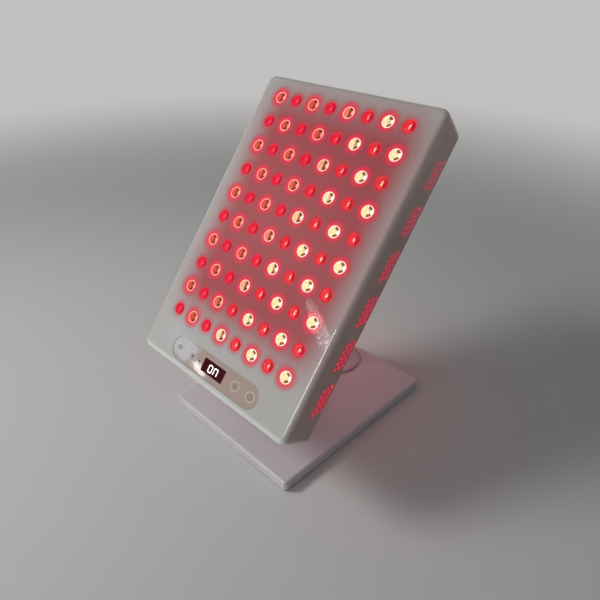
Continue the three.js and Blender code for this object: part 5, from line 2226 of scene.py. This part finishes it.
@dataclass
class Studio:
    """Floor, lights, sky and camera.

    Attributes:
        eye: The camera's place from the base's middle, in millimetres.
        azimuth_deg: Its turn about the vertical, from looking along +Y.
        tilt_deg: How far it looks down.
        roll_deg: Its turn about its own axis.
        lens: Focal length for a 36 mm wide picture.
        floor_colour: The floor's colour.
        floor_r: Radius of the floor, in metres.
        backdrop: Colour of everything behind the floor.
        sky: Light of the sky.
        sky_strength: Its strength.
        spill_power: Power of the light from the vents beside the panel, in watts.
        rear_power: Power of the light behind it.
        inner_power: Power of the light inside the panel.
        vent_red: Colour of the light from the vents.
        aim: Where the softboxes point, in metres.
    """

    eye: Place = (261.39, -291.96, 416.12)
    azimuth_deg: float = -40.93
    tilt_deg: float = 35.82
    roll_deg: float = 0.8
    lens: float = 28.2
    floor_colour: Colour = (0.61, 0.60, 0.59)
    floor_r: float = 2.2
    backdrop: Colour = (0.54, 0.53, 0.52)
    sky: Colour = (0.94, 0.97, 1.0)
    sky_strength: float = 0.18
    spill_power: float = 0.01
    rear_power: float = 0.014
    inner_power: float = 0.03
    vent_red: Colour = (1.0, 0.05, 0.1)
    aim: Place = (0.0, -0.06, 0.08)

    @staticmethod
    def _lamp(
        name: str, power: float, size: tuple[float, float] | None, colour: Colour = (1.0, 1.0, 1.0)
    ) -> bpy.types.Object:
        """Makes a lamp at the origin.

        Args:
            name: The lamp's name.
            power: Its power in watts.
            size: Width and length of an oblong lamp, in metres, or None for a round one.
            colour: Its colour.

        Returns:
            The lamp.
        """
        data = bpy.data.lights.new(name, "AREA" if size else "POINT")
        data.energy = power
        data.color = colour
        if size:
            data.shape = "RECTANGLE"
            data.size, data.size_y = size
        lamp = bpy.data.objects.new(name, data)
        bpy.context.scene.collection.objects.link(lamp)
        return lamp

    def camera(self, datum: Datum) -> None:
        """Makes the camera where the photograph was taken from.

        Args:
            datum: Where the base lies.
        """
        a, b, c = (math.radians(v) for v in (self.azimuth_deg, self.tilt_deg, self.roll_deg))
        ahead = Vector((math.sin(a) * math.cos(b), math.cos(a) * math.cos(b), -math.sin(b)))
        right = Vector((math.cos(a), -math.sin(a), 0.0))
        up = right.cross(ahead)
        side = math.cos(c) * right + math.sin(c) * up
        top = -math.sin(c) * right + math.cos(c) * up
        turn = Matrix((side, top, -ahead)).transposed().to_4x4()
        data = bpy.data.cameras.new("camera")
        data.lens = self.lens
        data.sensor_width = 36.0
        data.clip_start = 0.01
        camera = bpy.data.objects.new("camera", data)
        place = Vector(self.eye) + Vector((0.0, datum.base_y, 0.0))
        camera.matrix_world = Matrix.Translation(place * MM) @ turn
        bpy.context.scene.collection.objects.link(camera)
        bpy.context.scene.camera = camera

    def floor(self) -> None:
        """Makes the plain pale floor, which runs out into the backdrop."""
        bm = bmesh.new()
        bmesh.ops.create_circle(bm, cap_ends=True, segments=128, radius=self.floor_r)
        mesh = bpy.data.meshes.new("floor")
        bm.to_mesh(mesh)
        bm.free()
        floor = bpy.data.objects.new("floor", mesh)
        bpy.context.scene.collection.objects.link(floor)
        material, pen, shader = Finish.start("floor_pale")
        place = pen.spot()
        shade = tuple(0.97 * v for v in self.floor_colour)
        tone = pen.mix(pen.noise(place, 3.0, 2.0), self.floor_colour, shade)
        pen.fill(shader, Base_Color=tone, Roughness=0.75)
        away = pen.add("ShaderNodeVectorMath")
        away.operation = "LENGTH"
        pen.feed(away.inputs[0], place)
        fringe = pen.grow(away.outputs["Value"], self.floor_r * 0.22, self.floor_r * 0.75)
        far = pen.add("ShaderNodeEmission")
        far.inputs["Color"].default_value = (*self.backdrop, 1.0)
        blend = pen.add("ShaderNodeMixShader")
        pen.feed(blend.inputs[0], fringe)
        pen.feed(blend.inputs[1], shader.outputs[0])
        pen.feed(blend.inputs[2], far.outputs[0])
        pen.feed(material.node_tree.nodes["Material Output"].inputs["Surface"], blend.outputs[0])
        mesh.materials.append(material)

    def lights(self) -> None:
        """Makes the softboxes, of which the key gives plain light only and the edge lamp highlights only."""
        white, cool = (1.0, 1.0, 1.0), (0.48, 0.76, 1.0)
        for name, place, size, power, colour, spread in (
            ("softbox_key", (-0.85, -0.75, 1.0), (0.4, 0.4), 3.1, white, 95.0),
            ("softbox_edge", (-0.15, -1.12, 0.74), (0.15, 0.4), 4.2, white, 180.0),
            ("softbox_fill", (-0.25, -1.2, 0.22), (0.3, 0.3), 2.6, white, 180.0),
            ("softbox_left", (-1.575, -1.69, 0.795), (0.2, 0.12), 0.42, cool, 180.0),
            ("softbox_back", (-0.5, 1.3, 1.5), (0.8, 0.8), 0.53, white, 180.0),
        ):
            lamp = self._lamp(name, power, size, colour)
            lamp.data.spread = math.radians(spread)
            lamp.location = place
            ray = Vector(self.aim) - Vector(place)
            lamp.rotation_euler = ray.to_track_quat("-Z", "Y").to_euler()
            lamp.visible_glossy = name != "softbox_key"
            lamp.visible_diffuse = name != "softbox_edge"

    def glints(self) -> None:
        """Makes two narrow lamps that show only as glints, near the right edge and beside the display."""
        for place, aim, along, size, power in (
            ((-0.532, -0.983, 0.836), (0.082, -0.045, 0.17), (0.713, -0.617, -0.33), (0.24, 0.05), 0.28),
            ((-1.43, -1.795, 0.772), (-0.016, -0.106, 0.109), (0.8, -0.59, -0.12), (0.105, 0.04), 0.16),
        ):
            back = (Vector(place) - Vector(aim)).normalized()
            length = Vector(along) - Vector(along).dot(back) * back
            length.normalize()
            lamp = self._lamp("softbox_glint", power, size)
            lamp.data.shape = "ELLIPSE"
            turn = Matrix((length, back.cross(length), back)).transposed().to_4x4()
            lamp.matrix_world = Matrix.Translation(place) @ turn
            lamp.visible_diffuse = False

    def spill(self, datum: Datum, vents: VentField) -> None:
        """Makes the faint red light that the vents throw on the base, beside the panel and behind it.

        Args:
            datum: Where the panel lies.
            vents: The groups of vent holes.
        """
        down = -vents.groups / 4 * vents.group_pitch
        for side in (-1, 1):
            turn = Matrix.Rotation(side * math.radians(-8.0), 4, "Z") @ Matrix.Rotation(math.pi / 2, 4, "X")
            spot = Matrix.Translation((side * vents.side * 0.8, vents.depth + 16.0, down))
            beside = datum.panel @ spot @ turn
            behind = datum.base @ Matrix.Translation((side * 48.0, 66.0, 105.0))
            for place, length, power, body in (
                (beside, vents.groups / 2 * vents.group_pitch, self.spill_power, Body.PANEL),
                (behind, 90.0, self.rear_power, Body.STAND),
            ):
                lamp = self._lamp("vent_spill", power, (0.02, length * MM), self.vent_red)
                place.translation = place.translation * MM
                lamp.matrix_world = place
                lamp.visible_camera = False
                lamp.visible_glossy = False
                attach(lamp, body.value)

    def inner(self, datum: Datum, vents: VentField) -> None:
        """Makes the red light inside the panel, which shows through the vents.

        Args:
            datum: Where the panel lies.
            vents: The groups of vent holes.
        """
        for side in (-1, 1):
            for level in (-2, 0, 2):
                lamp = self._lamp("inner_glow", self.inner_power, None, self.vent_red)
                lamp.data.shadow_soft_size = 0.004
                spot = Vector((side * (vents.side - 8.0), vents.depth, level * vents.group_pitch))
                lamp.location = (datum.panel @ spot) * MM
                lamp.visible_camera = False
                lamp.visible_glossy = False
                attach(lamp, Body.PANEL.value)

    def world(self) -> None:
        """Makes an even sky, which the camera and reflections see as the pale backdrop."""
        world = bpy.data.worlds.new("sky")
        bpy.context.scene.world = world
        world.use_nodes = True
        pen = Pen(world.node_tree)
        back = world.node_tree.nodes["Background"]
        path = pen.add("ShaderNodeLightPath")
        seen = pen.most(path.outputs["Is Camera Ray"], path.outputs["Is Glossy Ray"])
        seen = pen.most(seen, path.outputs["Is Transmission Ray"])
        dim = tuple(v * self.sky_strength for v in self.sky)
        pen.feed(back.inputs["Color"], pen.mix(seen, dim, self.backdrop))
        back.inputs["Strength"].default_value = 1.0

    def build(self, datum: Datum, vents: VentField) -> None:
        """Makes the studio.

        Args:
            datum: Where the base and the panel lie.
            vents: The groups of vent holes.
        """
        bpy.context.scene.view_settings.view_transform = "Standard"
        self.camera(datum)
        self.floor()
        self.lights()
        self.glints()
        self.spill(datum, vents)
        self.inner(datum, vents)
        self.world()
        log.info("studio ready")


def main() -> None:
    """Builds the studio, the finishes and every piece."""
    logging.basicConfig(level=logging.INFO, format="%(name)s %(message)s")
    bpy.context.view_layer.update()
    datum = Datum.read()
    grid, vents = LensGrid(), VentField()
    Studio().build(datum, vents)
    kit = Kit.build(datum, grid, vents)
    housing = Housing()
    housing.build(kit, datum, grid, vents)
    grid.build(kit, datum)
    ControlStrip().build(kit, datum)
    RearSide().build(kit, datum, housing.post_places())
    Fan().build(kit, datum)
    Hinge().build(kit, datum)
    Stand().build(kit, datum)
    Innards().dress(frame["nodes"], kit)


if __name__ == "__main__":
    main()
